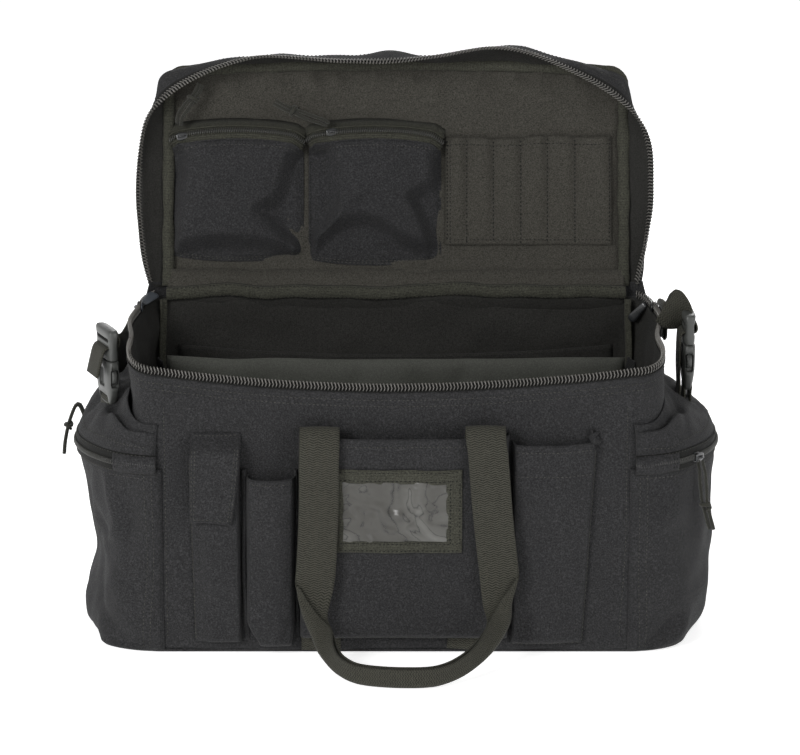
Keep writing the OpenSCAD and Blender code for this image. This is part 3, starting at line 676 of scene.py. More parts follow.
pull("right_end", RIGHT_PULL, (2, -1, 0), 0.66, "right_end_slider", "right_end_pull_cord")
pull("left_end", LEFT_PULL, (0, 2, 0), 0.62, "left_end_slider", "left_end_pull_cord")
for lid_name, lid_spread in (("left_lid", (1.7, 1, 0)), ("middle_lid", (1.1, -1.5, 0))):
    line = np.array(LID_PULLS[lid_name], float)
    swung = open_lid(line)
    swung_spread = open_lid(line[:1] + np.array([lid_spread]))[0] - swung[0]
    pull(lid_name, swung, swung_spread, 0.66, f"{lid_name}_slider", f"{lid_name}_pull_cord")


# ---- main compartment ------------------------------------------------------------------------


def plan(inset=0.0):
    """Plan of the compartment, anticlockwise from the middle of the back: points and outward normals."""
    pieces = []

    def straight(a, b, normal, count):
        t = np.linspace(0, 1, count, endpoint=False)[:, None]
        pieces.append(np.hstack([lerp(np.array(a, float), np.array(b, float), t),
                                 np.tile(normal, (count, 1))]))

    def bend(cx, cy, start, count=9):
        angle = np.radians(np.linspace(start, start + 90, count, endpoint=False))
        n = np.stack([np.cos(angle), np.sin(angle)], axis=1)
        pieces.append(np.hstack([np.array([cx, cy]) + n * (CORNER - inset), n]))

    d, r = HALF_DEPTH - inset, RIM_HALF - inset
    straight((0, d), (-SEAM_X, d), (0.0, 1.0), 40)
    bend(-SEAM_X, SIDE_Y, 90)
    straight((-r, SIDE_Y), (-r, -SIDE_Y), (-1.0, 0.0), 30)
    bend(-SEAM_X, -SIDE_Y, 180)
    straight((-SEAM_X, -d), (SEAM_X, -d), (0.0, -1.0), 84)
    bend(SEAM_X, -SIDE_Y, 270)
    straight((r, -SIDE_Y), (r, SIDE_Y), (1.0, 0.0), 30)
    bend(SEAM_X, SIDE_Y, 0)
    straight((SEAM_X, d), (0, d), (0.0, 1.0), 40)
    ring = np.vstack(pieces)
    return ring[:, :2], ring[:, 2:]


def rim_height(x, y):
    front = FRONT_MID + (SEAM_HEIGHT - FRONT_MID) * (x / SEAM_X) ** 2
    corner = lerp(SEAM_HEIGHT, CORNER_HEIGHT, (y + HALF_DEPTH) / CORNER)
    side = lerp(CORNER_HEIGHT, SIDE_BACK_HEIGHT, (y + SIDE_Y) / (2 * SIDE_Y))
    back = lerp(SIDE_BACK_HEIGHT, BACK_HEIGHT, (y - SIDE_Y) / CORNER)
    z = np.where(y < -SIDE_Y, np.where(np.abs(x) <= SEAM_X, front, corner), np.where(y < SIDE_Y, side, back))
    # The cloth of the left front corner stands up a little, and the right one leans in.
    return z + 4 * np.exp(-((x + 254) ** 2 + (y + 84) ** 2) / 30**2)


def wall_shift(x, y, z):
    """How far the outside of the wall stands out from its flat line."""
    p = np.stack(np.broadcast_arrays(x, y, z), axis=-1).astype(float)
    shift = 0.9 * ripple(p, 150, 3) + 0.45 * ripple(p, 52, 4)
    above = ease(205, 235, z)
    shift = shift + above * 1.5 * ripple(p, 70, 8, stretch=(2.2, 1, 1))
    beside = ease(SEAM_X + 4.0, RIM_HALF - 4.0, np.abs(x))
    shift = shift + 7.0 * beside * ease(225, 290, z) * np.exp(-((np.asarray(y) - 42.0) / 42.0) ** 2)
    front = np.asarray(y) < -SIDE_Y
    shift = shift + np.where(front, crease(x, z, (-205, 262), (-120, 238), -1.8, 7), 0)
    shift = shift + np.where(front, crease(x, z, (150, 262), (205, 240), -1.8, 8), 0)
    shift = shift + np.where(front, crease(x, z, (-60, 250), (70, 244), 1.4, 8), 0)
    return shift


def front_y(x, z):
    """Where the outside of the front wall is."""
    return -HALF_DEPTH - wall_shift(x, -HALF_DEPTH, z)


ring, outward = plan()
rim = rim_height(ring[:, 0], ring[:, 1])
levels = np.concatenate([[0.0, 0.008, 0.02, 0.035], np.linspace(0.06, 0.93, 34), [0.955, 0.975, 0.99, 1.0]])
z = levels[:, None] * (rim[None, :] - 0.5)
x, y = np.broadcast_to(ring[:, 0], z.shape), np.broadcast_to(ring[:, 1], z.shape)
shift = wall_shift(x, y, z) - 5.0 * (1 - np.sqrt(1 - np.clip(1 - z / 8.0, 0, 1) ** 2))
grid = np.stack([x + outward[:, 0] * shift, y + outward[:, 1] * shift, np.maximum(z, 0.2)], axis=-1)
shell = cloth("body_shell", grid, "bag", "outer_cloth", 1.6, wrap=True,
              replaced=("front_panel", "back_panel", "left_end_panel", "right_end_panel"))

# Turned edge of the cloth under the zip, and the two rows of stitches that hold the tape.
cols = len(ring)
rim_line, rim_normal = shell.grid[-1], shell.normals[-4]
usable = np.abs(ring[:, 1] - HALF_DEPTH) > 14
order = [i for i in range(cols) if usable[i]]
for drop in (8.0, 14.0):
    line = np.stack([[np.interp(rim[i] - drop, grid[:, i, 2],
                                grid[:, i, k]) for k in range(3)] for i in order])
    sew(line, rim_normal[order], "bag")

# Lining, with soft waves of its own, and the floor inside, both in the lining copy painted darker for the
# shade inside the bag.
ring_in, _ = plan(3.4)
rim_in = rim_height(ring[:, 0], ring[:, 1]) - 0.5
z = np.linspace(0.02, 1, 34)[:, None] * rim_in[None, :]
x, y = np.broadcast_to(ring_in[:, 0], z.shape), np.broadcast_to(ring_in[:, 1], z.shape)
p = np.stack([x, y, z], axis=-1)
inward = np.clip(1.6 + 1.6 * ripple(p, 95, 21) + 0.8 * ripple(p, 40, 22), 0.3, None) * ease(1.0, 0.9,
                                                                                            z / rim_in)
inward = inward - wall_shift(np.broadcast_to(ring[:, 0], z.shape), np.broadcast_to(ring[:, 1], z.shape), z)
grid = np.stack([x - outward[:, 0] * inward, y - outward[:, 1] * inward, z], axis=-1)
cloth("body_lining", grid[:, ::-1], "bag", "lining_painted_shade", 0.8, wrap=True)
xs, ys = np.meshgrid(np.linspace(-238, 238, 60), np.linspace(-106, 106, 26))
p = np.stack([xs, ys, np.full_like(xs, 7.4)], axis=-1)
p[..., 2] += 0.7 * ripple(p, 60, 23)
# The floor lining is painted darker for the shade inside the bag.
cloth("floor_lining", p, "bag", "lining_painted_shade", 0.8, replaced=("base_board",))

# Bound seams up the inside back corners.
for sign in (-1, 1):
    h = np.linspace(20, 300, 50)
    path = np.stack([sign * (236.5 + 1.0 * np.sin(h / 17)), 106.0 + 1.0 * np.sin(h / 23), h], axis=1)
    ribbon(f"corner_binding_{'left' if sign < 0 else 'right'}", path,
           np.tile([0.7, -0.7 * sign, 0], (50, 1)) * sign,
           9.0, 2.2, "bag", "binding_tape", crown=1.2)

# Main zip: tape standing on the rim, and its coil.
zip_at = [i for i in range(cols) if not (abs(ring[i, 0]) < RIM_HALF - 12 and ring[i, 1] > 0)]
edge_line = rim_line[zip_at]
edge_out = np.column_stack([outward[zip_at], np.zeros(len(zip_at))])
up = np.tile([0.0, 0.0, 1.0], (len(zip_at), 1))
steps = np.linspace(-3.0, 7.2, 7)
grid = edge_line[None] - edge_out[None] * 0.6 + up[None] * steps[:, None, None]
cloth("main_zip_tape", grid, "bag", "zip_tape", 0.9, replaced=("rim_zip",))
coil("main_zip_coil", edge_line + up * 6.0 - edge_out * 0.9, up + edge_out * 0.2, edge_out, "bag",
     height=4.6, depth=3.4,
     pitch=3.3, wire=0.6)
coil("main_zip_coil_legs", edge_line + up * 2.7 - edge_out * 0.9, -up - edge_out * 0.2, edge_out, "bag",
     height=3.6, depth=3.0,
     pitch=3.3, wire=0.5)
tube("main_zip_thread", edge_line + up * 0.6 + edge_out * 0.9, 0.6, "bag", "zip_tape", sides=6)

# Stitches beside the front corner seams.
h = np.linspace(14, 246, 90)
for sign in (-1, 1):
    edge_x = np.full(90, sign * (SEAM_X - 6.0)) - sign * 5.0 * ease(120, 0, h) * (sign > 0)
    sew(np.column_stack([edge_x, front_y(edge_x, h) - 0.1, h]), np.tile([0.0, -1.0, 0.0], (90, 1)), "bag")

# Underside.


def pocket_plan(count=60):
    """Outline of an end pocket at its zip, from the front seam to the back seam."""
    half, r, reach = 120.5, 150.0, END_REACH
    centre = reach - r
    corner_r = (half - r * math.sin(math.radians(40))) / (1 - math.sin(math.radians(40)))
    cx = centre + (r - corner_r) * math.cos(math.radians(40))
    cy = (r - corner_r) * math.sin(math.radians(40))
    a = np.radians(np.linspace(-90, -40, 24))
    b = np.radians(np.linspace(-40, 40, 40))
    pts = [np.stack([cx + corner_r * np.cos(a), -cy + corner_r * np.sin(a)], 1),
           np.stack([centre + r * np.cos(b), r * np.sin(b)], 1)[1:-1],
           np.stack([cx + corner_r * np.cos(-a[::-1]), cy + corner_r * np.sin(-a[::-1])], 1)]
    return resample(np.vstack(pts), count), cx


POCKET, POCKET_X = pocket_plan()
base = np.column_stack([POCKET_X + (POCKET[:, 0] - POCKET_X) * 0.60, POCKET[:, 1] * 0.972])
outline = np.vstack([base, np.column_stack([-base[::-1, 0], base[::-1, 1]])])
t = np.linspace(0, 1, 8)[:, None, None]
centre_line = np.column_stack([outline[:, 0] * 0.9, outline[:, 1] * 0.0])
flat = lerp(centre_line[None], outline[None], t)
grid = np.concatenate([flat, np.full(flat.shape[:2] + (1,), 0.25)], axis=-1)
cloth("underside", grid, "bag", "outer_cloth", 2.2, wrap=True, replaced=("bottom_panel",))


# ---- end pockets -----------------------------------------------------------------------------

FULLNESS = {-1: [(0, 0.84), (9, 0.92), (38, 0.915), (72, 0.80), (105, 0.835), (148, 0.93), (183, 0.99)],
            1: [(0, 0.80), (12, 0.89), (42, 0.95), (88, 0.975), (140, 0.985), (183, 0.99)]}
LEFT_FOLDS = [((60, 183), (48, 122), 3.5, 7), ((48, 122), (84, 92), 3.5, 8), ((26, 176), (38, 105), -4.5, 14),
              ((92, 128), (66, 104), -3.5, 9), ((96, 60), (22, 6), -3.6, 9), ((70, 78), (12, 40), 2.6, 13),
              ((6, 12), (22, 2), -3.0, 6), ((120, 150), (150, 70), -4, 14), ((190, 160), (230, 60), -4, 15),
              ((230, 90), (290, 110), 3, 12), ((280, 170), (262, 90), -3.5, 10),
              ((300, 30), (250, 60), -3, 12)]
RIGHT_FOLDS = [((10, 2), (52, 34), -5.5, 9), ((22, 0), (66, 26), 3.2, 9), ((14, 172), (30, 138), -2.6, 8),
               ((44, 165), (30, 120), 2.2, 12), ((60, 60), (90, 110), 2.0, 20),
               ((130, 150), (118, 90), -3, 14),
               ((180, 150), (210, 70), -4, 15), ((250, 100), (300, 60), 3, 14),
               ((270, 170), (290, 110), -3, 10)]


def pocket_wall(sign, name):
    z = np.concatenate([np.linspace(0, 12, 6), np.linspace(16, 183, 36)])
    rows = np.array(FULLNESS[sign])
    full = np.interp(z, rows[:, 0], rows[:, 1])
    full = np.convolve(np.pad(full, 2, mode="edge"), np.ones(5) / 5, mode="valid")
    u = lengths(POCKET)
    uu, zz = np.meshgrid(u, z)
    xx = POCKET_X + (POCKET[:, 0] - POCKET_X)[None] * full[:, None]
    yy = np.broadcast_to(POCKET[:, 1], xx.shape) * (1 - 0.012 * ease(20, 0, zz))
    # The base is squarer in plan than the zip above it.
    xx = xx + (13 if sign < 0 else 7) * np.exp(-(((np.abs(yy) - 98) / 22) ** 2)) * ease(95, 4, zz)
    tangent = unit(np.gradient(POCKET, axis=0))
    nx, ny = tangent[:, 1][None], -tangent[:, 0][None]
    p = np.stack([xx, yy, zz], axis=-1)
    push = 1.6 * ripple(p, 80, 31 + sign) + 0.8 * ripple(p, 34, 35 + sign)
    for a, b, depth, width in LEFT_FOLDS if sign < 0 else RIGHT_FOLDS:
        push = push + crease(uu, zz, a, b, 1.35 * depth, width, 0.8)
    held = ease(0, 10, uu) * ease(u[-1], u[-1] - 10, uu) * ease(0, 8, zz) * ease(183, 172, zz)
    push = push * held - 3.0 * (1 - np.sqrt(1 - np.clip(1 - zz / 6.0, 0, 1) ** 2))
    grid = np.stack([xx + nx * push, yy + ny * push, np.maximum(zz, 0.2)], axis=-1)
    # Seam allowance, lapped over the end of the front and back walls.
    lap = grid[:, :1].copy(), grid[:, -1:].copy()
    flange = []
    for edge, front in ((lap[0], True), (lap[1], False)):
        y = edge[..., 1] + (0.9 if front else -0.9)
        flange.append(np.stack([np.full_like(y, 223.0), y, edge[..., 2]], axis=-1))
    grid = np.concatenate([flange[0], grid, flange[1]], axis=1)
    if sign < 0:
        grid[..., 0] *= -1
        grid = grid[:, ::-1]
    return cloth(name, grid, "bag", "outer_cloth", 1.5, replaced=(name.replace("_wall", ""),))


def roof(sign, name):
    u = lengths(POCKET)
    inner_ring, _ = plan(-1.0)
    side = inner_ring[(inner_ring[:, 0] > SEAM_X - 2)]
    side = side[np.argsort(np.arctan2(side[:, 1], side[:, 0] - 200))]
    side = resample(side, len(POCKET))
    t = np.linspace(0, 1, 24)
    plan_xy = lerp(POCKET[None], side[None], t[:, None, None])
    lift = {1: 246 - 19 * ease(84, 118, np.abs(side[:, 1])),
            -1: 247 - 20 * ease(84, 118, np.abs(side[:, 1]))}[sign]
    z0 = ZIP_Z + 5
    tt, uu = np.meshgrid(t, u, indexing="ij")
    z = z0 + (lift[None] - z0) * tt ** lerp(0.5, 0.62, ease(0, 90, uu))
    y = plan_xy[..., 1]
    if sign < 0:
        z = z + 15 * hump(y, 46, 40) * np.sin(math.pi * np.clip(tt * 1.25, 0, 1)) * ease(0, 0.2, tt)
    # A crisp ledge near the front seam, where the cloth folds over above the zip.
    ledge = ease(130, 60, uu) * ease(0, 14, uu)
    z = z + ledge * (7.0 * hump(tt, 0.42, 0.16) - 7.0 * hump(tt, 0.68, 0.15))
    p = np.concatenate([plan_xy, z[..., None]], axis=-1)
    free = ease(0, 0.15, tt) * ease(1, 0.85, tt)
    z = z + free * (2.2 * ripple(p, 60, 51 + sign) + 1.2 * ripple(p, 28, 55 + sign))
    z = z + free * (crease(uu, tt * 60, (60, 10), (110, 50), -4, 8) + crease(uu, tt * 60, (150, 5),
                                                                             (165, 55), -3, 9)
                    + crease(uu, tt * 60, (230, 8), (200, 50), -4, 9) + crease(uu, tt * 60, (290, 12),
                                                                               (262, 52), -3, 8))
    grid = np.concatenate([plan_xy, z[..., None]], axis=-1)
    if sign < 0:
        grid[..., 0] *= -1
        grid = grid[:, ::-1]
    return cloth(name, grid, "bag", "outer_cloth", 1.4, replaced=(name,))


def end_zip(sign, name):
    """Tape and closed coil round the pocket, with cloth end tabs over its ends."""
    tangent = unit(np.gradient(POCKET, axis=0))
    out = np.column_stack([tangent[:, 1], -tangent[:, 0], np.zeros(len(POCKET))])
    line = np.column_stack([POCKET_X + (POCKET[:, 0] - POCKET_X) * 0.99, POCKET[:, 1],
                            np.full(len(POCKET), ZIP_Z)])
    line[:, 2] += 1.0 * np.sin(np.linspace(0, 9, len(POCKET)))
    flip = np.array([sign, 1, 1])
    step = [-1, 1][sign > 0]

    def placed(a):
        return (a * flip)[::step]

    rows = []
    for dz, lift in ((-10, 0.4), (-8, 1.0), (-3, 1.3), (0, 1.6), (3, 1.3), (8, 1.0), (10, 0.2)):
        rows.append(placed(line + out * lift + np.array([0, 0, dz])))
    tape = cloth(f"{name}_tape", np.stack(rows), "bag", "zip_tape", 1.0, replaced=(name,))
    middle = placed(line + out * 2.2)
    face = placed(out)
    up = np.tile([0.0, 0.0, 1.0], (len(line), 1))
    coil(f"{name}_coil", middle, up, face, "bag", "zip_dark", height=5.0, depth=2.4, pitch=2.3, wire=0.5)
    for v in (0.1, 0.9):
        tape.sew(0.02, v, 0.98, v)
    for end, (a, b) in enumerate(((0, 9), (len(line) - 9, len(line)))):
        tab = [placed(line + out * lift + np.array([0, 0, dz]))[a:b]
               for dz, lift in ((-9, 1.6), (-4, 3.0), (0, 3.9), (4, 3.0), (9, 1.8))]
        tab = np.stack([resample(r, 20) for r in tab])
        tab[..., 2] += 0.5 * ripple(tab, 20, 61 + end)
        tab = cloth(f"{name}_tab_{end}", tab, "bag", "outer_cloth", 1.2)
        across = 0.93 if end == 0 else 0.07
        tab.sew(across, 0.08, across, 0.92, kind="thread_dark")
        tab.sew(abs(across - 0.07), 0.08, abs(across - 0.07), 0.92, kind="thread_dark")


for sign, side in ((-1, "left"), (1, "right")):
    wall = pocket_wall(sign, f"{side}_end_pocket_wall")
    first, last = (0.03, 0.97)
    for u in (first, first + 0.022, last, last - 0.022):
        wall.sew(u, 0.03, u, 0.995)
    wall.sew(first, 0.955, last, 0.955)
    top = roof(sign, f"{side}_pocket_roof")
    top.sew(0.02, 0.12, 0.98, 0.12)
    end_zip(sign, f"{side}_end_zip")


# ---- front pockets ---------------------------------------------------------------------------


def patch(name, x0, x1, z0, z1, depth, seed, profile=None, taper=(0, 0), sag=0.0, folds=(), replaced=(),
          chamfer=(0, 0), edge=3.5):
    """A pocket sewn to the front: side walls, a rounded front face and an open, hemmed top.
    profile(u, v) gives the share of its depth, from 0 at the wall to 1."""
    across = np.concatenate([[0, 0.004], np.linspace(0.008, 0.035, 5), np.linspace(0.05, 0.95, 44),
                             np.linspace(0.965, 0.992, 5), [0.996, 1]])
    v = np.concatenate([np.linspace(0, 0.05, 8), np.linspace(0.065, 1, 46)])
    uu, vv = np.meshgrid(across, v)
    left = x0 + taper[0] * (1 - vv) + chamfer[0] * ease(0.16, 0.0, vv)
    right = x1 - taper[1] * (1 - vv) - chamfer[1] * ease(0.16, 0.0, vv)
    width = x1 - x0
    edge_mm = np.minimum(uu, 1 - uu) * width
    side = np.sqrt(np.clip(1 - (1 - np.clip(edge_mm / edge, 0, 1)) ** 2, 0, 1))
    bottom = np.sqrt(np.clip(1 - (1 - np.clip(vv * (z1 - z0) / (edge * 1.6), 0, 1)) ** 2, 0, 1))
    share = side * bottom * (profile(uu, vv) if profile else 1.0)
    xx = lerp(left, right, uu)
    zz = lerp(z0, z1, vv) - sag * np.sin(math.pi * uu) * ease(0.6, 1, vv)
    p = np.stack([xx, np.full_like(xx, seed * 40.0), zz], axis=-1)
    bulge = depth * share + share * (1.3 * ripple(p, 62, seed) + 0.7 * ripple(p, 27, seed + 1))
    for a, b, fold_depth, fold_width in folds:
        bulge = bulge + share * crease(xx, zz, a, b, fold_depth, fold_width, 0.8)
    yy = front_y(xx, zz) - 0.4 - np.maximum(bulge, 0)
    return cloth(name, np.stack([xx, yy, zz], axis=-1), "bag", "outer_cloth", 1.3, replaced=replaced)


def hem(sheet, v=0.955, kind="thread"):
    sheet.sew(0.06, v, 0.94, v, kind=kind)


baton = patch("baton_pocket_cloth", -197, -148.5, 11, 196, 13, 101, taper=(4, 0), replaced=("baton_pocket",),
              profile=lambda u, v: (0.35 + 0.65 * ease(0.05, 0.42, u)) * (0.82 + 0.18 * ease(0.0, 0.5, v)),
              folds=[((-190, 40), (-165, 110), 1.5, 10), ((-160, 20), (-182, 48), -2.5, 7)])
baton.sew(0.015, 0.03, 0.015, 0.97)
baton.sew(0.06, 0.03, 0.06, 0.97)


def box_pleat(u, v):
    return 0.86 + 0.14 * np.sin(math.pi * u) - 0.1 * ease(0.85, 1.0, v)


narrow = patch("narrow_pocket_cloth", -142.5, -95, 8, 178, 18, 111, replaced=("narrow_pocket",),
               profile=box_pleat,
               taper=(-1, 2), chamfer=(12, 3), edge=4.5, sag=2.5,
               folds=[((-134, 26), (-100, 40), 2.5, 7), ((-108, 16), (-96, 44), -4.0, 6),
                      ((-120, 60), (-112, 150), 1.5, 12)])
hem(narrow, 0.975)
centre = patch("centre_pocket_cloth", -92.5, 108, 16, 219, 19, 121, replaced=("centre_pocket",), edge=5.0,
               sag=2.0,
               profile=lambda u, v: 0.84 + 0.16 * np.sin(math.pi * u) * ease(0.0, 0.4, v),
               folds=[((-50, 60), (60, 48), 1.6, 14), ((60, 90), (95, 60), -1.5, 9),
                      ((-70, 30), (-30, 70), -1.5, 10)])
hem(centre, 0.965)
centre.sew(0.02, 0.035, 0.98, 0.035)
side_patch = patch("side_pocket_cloth", 110.5, 191, 10, 211, 15, 131, replaced=("side_pocket",),
                   taper=(0, 12), edge=4.0,
                   profile=lambda u, v: (0.45 + 0.55 * ease(1.0, 0.5, u)) * (0.8 + 0.2 * ease(0, 0.6, v)),
                   sag=1.5,
                   folds=[((130, 190), (165, 120), 1.2, 14), ((125, 40), (165, 75), -1.4, 12)])
hem(side_patch, 0.968)
hem(side_patch, 0.86)
for u in (0.965, 0.99):
    side_patch.sew(u, 0.02, u, 0.98)
side_patch.sew(0.05, 0.02, 0.97, 0.02)

# Narrow pleats beside the boxed pockets, folded back under their front faces.
for i, (x0, x1, z0, z1) in enumerate(((-147.5, -141.5, 12, 184), (-97, -93.0, 12, 184))):
    h, t = np.linspace(z0, z1, 50), np.linspace(0, 1, 5)
    xx, zz = np.meshgrid(lerp(x0, x1, t), h)
    deep = 5.0 * np.sin(math.pi * np.clip(np.linspace(0.1, 0.9, 5), 0, 1))[None] * ease(0, 40, zz - z0)
    grid = np.stack([xx + 0.8 * np.sin(zz / 19), front_y(xx, zz) - 0.3 - deep, zz], axis=-1)
    cloth(f"pleat_{i}", grid, "bag", "outer_cloth", 1.0)

# Puckered corner of the side pocket, where its wall is tacked to the front.
t, s = np.meshgrid(np.linspace(0, 1, 16), np.linspace(0, 1, 14))
pucker_x = 184 + 9 * t + 2.2 * np.sin(s * 9 + t * 4)
pucker_z = 207 + 15 * s - 3 * t + 1.5 * np.sin(t * 9)
pucker_y = front_y(pucker_x,
                   pucker_z) - 2.0 - 7 * np.sin(math.pi * t) * (0.4 + 0.6 * (1 - s)) - 1.5 * np.sin(s * 11
                                                                                                    + t * 5)
cloth("side_pocket_tack", np.stack([pucker_x, pucker_y, pucker_z], axis=-1), "bag", "outer_cloth", 1.2)

# Flap of the baton pocket, blended from the wall to its swinging body.
t, s = np.meshgrid(np.linspace(0, 1, 26), np.linspace(0, 1, 44))
flap_x = lerp(-194.5, -147.0, t) + lerp(3.5, 0, s) * (t - 0.5) - 11.0 * t * (1 - s) ** 1.4
flap_z = lerp(134.0, 219.0, s) + 1.6 * np.sin(math.pi * t) * (1 - s) - 2.0 * t * (1 - s)
flap_y = -136.0 + 17.5 * ease(0.74, 1.0, s) ** 1.6 + 3.2 * (1 - t) * (1 - s) - 1.6 * np.sin(math.pi * t)
grid = np.stack([flap_x, flap_y - 0.7 * ripple(np.stack([flap_x, flap_y, flap_z], -1), 30, 141), flap_z],
                axis=-1)
grid[..., 1] = np.minimum(grid[..., 1], front_y(flap_x, flap_z) - 0.6)
flap = cloth("baton_flap_cloth", grid, "baton_flap", "outer_cloth", 1.8, replaced=("baton_flap",))
for u in (0.04, 0.10, 0.90, 0.96):
    flap.sew(u, 0.02, u, 0.86)
flap.sew(0.05, 0.035, 0.95, 0.035)
hook = grid[4:16, 5:21].copy()
hook[..., 1] += 2.6
cloth("flap_hook_tape", hook[:, ::-1], "baton_flap", "hook_tape", 0.8)
t = np.linspace(0.05, 0.95, 40)
sew(*flap.at(t, np.full(40, 0.975)), "bag")

# Card window: clear film behind a frame of bound cloth.
lift = np.array([0, 0, 2.8])
card_low, card_high = low("card_frame") + lift, high("card_frame") + lift
film_low, film_high = low("card_film") + lift, high("card_film") + lift


def pocket_face(x, z):
    """Front of the centre pocket at a point of its face."""
    u = np.clip((x + 92.5) / 200.5, 0.03, 0.97)
    v = np.clip((z - 16) / 203.0, 0.08, 0.99)
    return centre.at(u, ease_inverse(v))[0][..., 1]


def ease_inverse(v):
    """Share of the rows at a share of the height, for the rows of patch()."""
    heights = np.concatenate([np.linspace(0, 0.05, 8), np.linspace(0.065, 1, 46)])
    return np.interp(v, heights, np.linspace(0, 1, len(heights)))


t, s = np.meshgrid(np.linspace(0, 1, 56), np.linspace(0, 1, 40))
fx, fz = lerp(film_low[0], film_high[0], t), lerp(film_low[2], film_high[2], s)
p = np.stack([fx, fx * 0, fz], axis=-1)
dents = 1.1 * ripple(p, 24, 151) + 0.7 * ripple(p, 11, 152)
for a, b, d, w in (((-50, 160), (-20, 150), 1.8, 3.0), ((5, 128), (38, 160), 1.6, 2.4),
                   ((10, 165), (42, 140), 1.2, 2.2),
                   ((-30, 168), (0, 130), 1.3, 5.0), ((20, 118), (45, 126), 1.2, 3.0)):
    dents = dents + crease(fx, fz, a, b, d, w)
dents = dents * np.sin(math.pi * t) ** 0.3 * np.sin(math.pi * s) ** 0.3
film_y = pocket_face(fx, fz) - 1.9 - np.clip(dents, -0.9, 2.6)
cloth("card_film_sheet", np.stack([fx, film_y, fz], axis=-1), "bag", "clear_film", 0.3,
      replaced=("card_film",))
back_grid = np.stack([fx, pocket_face(fx, fz) - 0.35, fz], axis=-1)
cloth("card_backing", back_grid, "bag", "lining_cloth", 0.3)


def card_band(name, x0, x1, z0, z1, kind, lift, wave=0.5):
    t, s = np.meshgrid(np.linspace(0, 1, 60), np.linspace(0, 1, 9))
    xx, zz = lerp(x0, x1, t), lerp(z0, z1, s)
    p = np.stack([xx, xx * 0, zz], axis=-1)
    crown = 0.9 * np.sin(math.pi * s) * np.sin(math.pi * t) ** 0.15
    if abs(x1 - x0) < abs(z1 - z0):
        crown = 0.9 * np.sin(math.pi * t)
        t, s = s, t
    yy = pocket_face(xx, zz) - lift - crown - wave * 0.5 * ripple(p, 22, 161)
    zz = zz + 0.35 * np.sin(xx / 9) * (1 if abs(x1 - x0) > abs(z1 - z0) else 0)
    return cloth(name, np.stack([xx, yy, zz], axis=-1), "bag", kind, 1.1)


top_band = card_band("card_frame_top", card_low[0], card_high[0], film_high[2] - 3, card_high[2],
                     "binding_tape", 2.2)
foot_band = card_band("card_frame_foot", card_low[0], card_high[0], card_low[2], film_low[2] + 2.5,
                      "binding_tape", 2.2)
right_band = card_band("card_frame_right", film_high[0] - 3, card_high[0], card_low[2] + 1, card_high[2] - 1,
                       "binding_tape", 1.8)
card_band("card_frame_left", card_low[0], film_low[0] + 3.5, card_low[2] + 1, card_high[2] - 1,
          "binding_tape", 1.8)
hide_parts("card_frame")
for band in (top_band, foot_band):
    band.sew(0.01, 0.2, 0.99, 0.2, kind="thread_dark")
    band.sew(0.01, 0.8, 0.99, 0.8, kind="thread_dark")
right_band.sew(0.85, 0.02, 0.85, 0.98, kind="thread_dark")
right_band.sew(0.25, 0.02, 0.25, 0.98, kind="thread_dark")


# ---- webbing handles -------------------------------------------------------------------------


def both_halves(points, flip=(-1, 1, 1)):
    points = np.asarray(points, float)
    return np.vstack([points * np.array(flip), points[-2::-1]])


HANDLE_X = 72.0
for sign, x in ((-1, -HANDLE_X), (1, HANDLE_X)):
    side = "left" if sign < 0 else "right"
    h = np.linspace(3, 212, 60)
    # The right-hand strip is sewn on leaning outwards.
    xs = np.full(60, x) if sign < 0 else np.linspace(68, 84, 60)
    path = np.stack([xs, front_y(xs, h) - 1.2, h], axis=1)
    strip = ribbon(f"front_webbing_{side}", path, np.tile([1.0, 0, 0], (60, 1)), WEBBING, 1.6, "bag",
                   "webbing",
                   replaced=("front_handle_webbing",))
    for u in (0.05, 0.95):
        strip.sew(u, 0.01, u, 0.99)
    xs = np.full(60, x)
    path = np.stack([xs, HALF_DEPTH + wall_shift(xs, HALF_DEPTH, h) + 1.2, h], axis=1)
    strip = ribbon(f"back_webbing_{side}", path, np.tile([-1.0, 0, 0], (60, 1)), WEBBING, 1.6, "bag",
                   "webbing",
                   replaced=("back_handle_webbing",))
    for u in (0.05, 0.95):
        strip.sew(u, 0.01, u, 0.99)

# The front handle: its inner edge, its outer edge, and how far the outer margin is folded over the front.
# Its grip is the webbing folded in half lengthwise.
FRONT_LOOP = [((-53, -120.6, 196), (-91, -120.6, 196), 0), ((-53, -121.4, 214), (-91, -121.4, 214), 0),
              ((-53, -125.5, 224), (-91, -125.5, 224), 0), ((-53, -132, 228), (-91, -132, 228), 0),
              ((-53, -139, 224), (-91, -139, 224), 0), ((-53, -143.6, 213), (-91, -143.6, 213), 0),
              ((-53.5, -144.5, 196), (-91.5, -144.5, 196), 0), ((-54, -145, 150), (-92, -145, 150), 0),
              ((-56.6, -145, 96), (-94.4, -145, 96), 0), ((-59.4, -145.5, 72), (-92, -147, 72), 4),
              ((-65, -147, 46), (-87.5, -151, 52), 13), ((-60, -156, 34), (-78, -158, 30), 18.5),
              ((-56, -180, 27), (-68, -175, 13), 19), ((-48, -204, 24), (-50, -202, 6), 19),
              ((-31, -217, 21), (-31, -215, 3.5), 19), ((8, -224, 20.5), (8, -222, 2.5), 19),
              ((42, -218, 21), (42, -216, 3.5), 19), ((68, -198, 29), (78, -192, 12), 19),
              ((86, -163, 42), (104, -160, 38), 18.5), ((83, -147.5, 56), (109.5, -151, 60), 11),
              ((79.3, -145, 88), (114.8, -146, 88), 2), ((73, -145, 145), (111, -145, 145), 0),
              ((68, -144.5, 205), (106.2, -144.5, 205), 0), ((66.5, -143.4, 214), (104.8, -143.4, 214), 0),
              ((66, -139, 225), (104, -139, 225), 0), ((66, -132, 229), (104, -132, 229), 0),
              ((66, -125.5, 225), (104, -125.5, 225), 0), ((65.5, -121.4, 214), (103.5, -121.4, 214), 0),
              ((65, -120.6, 196), (103, -120.6, 196), 0)]
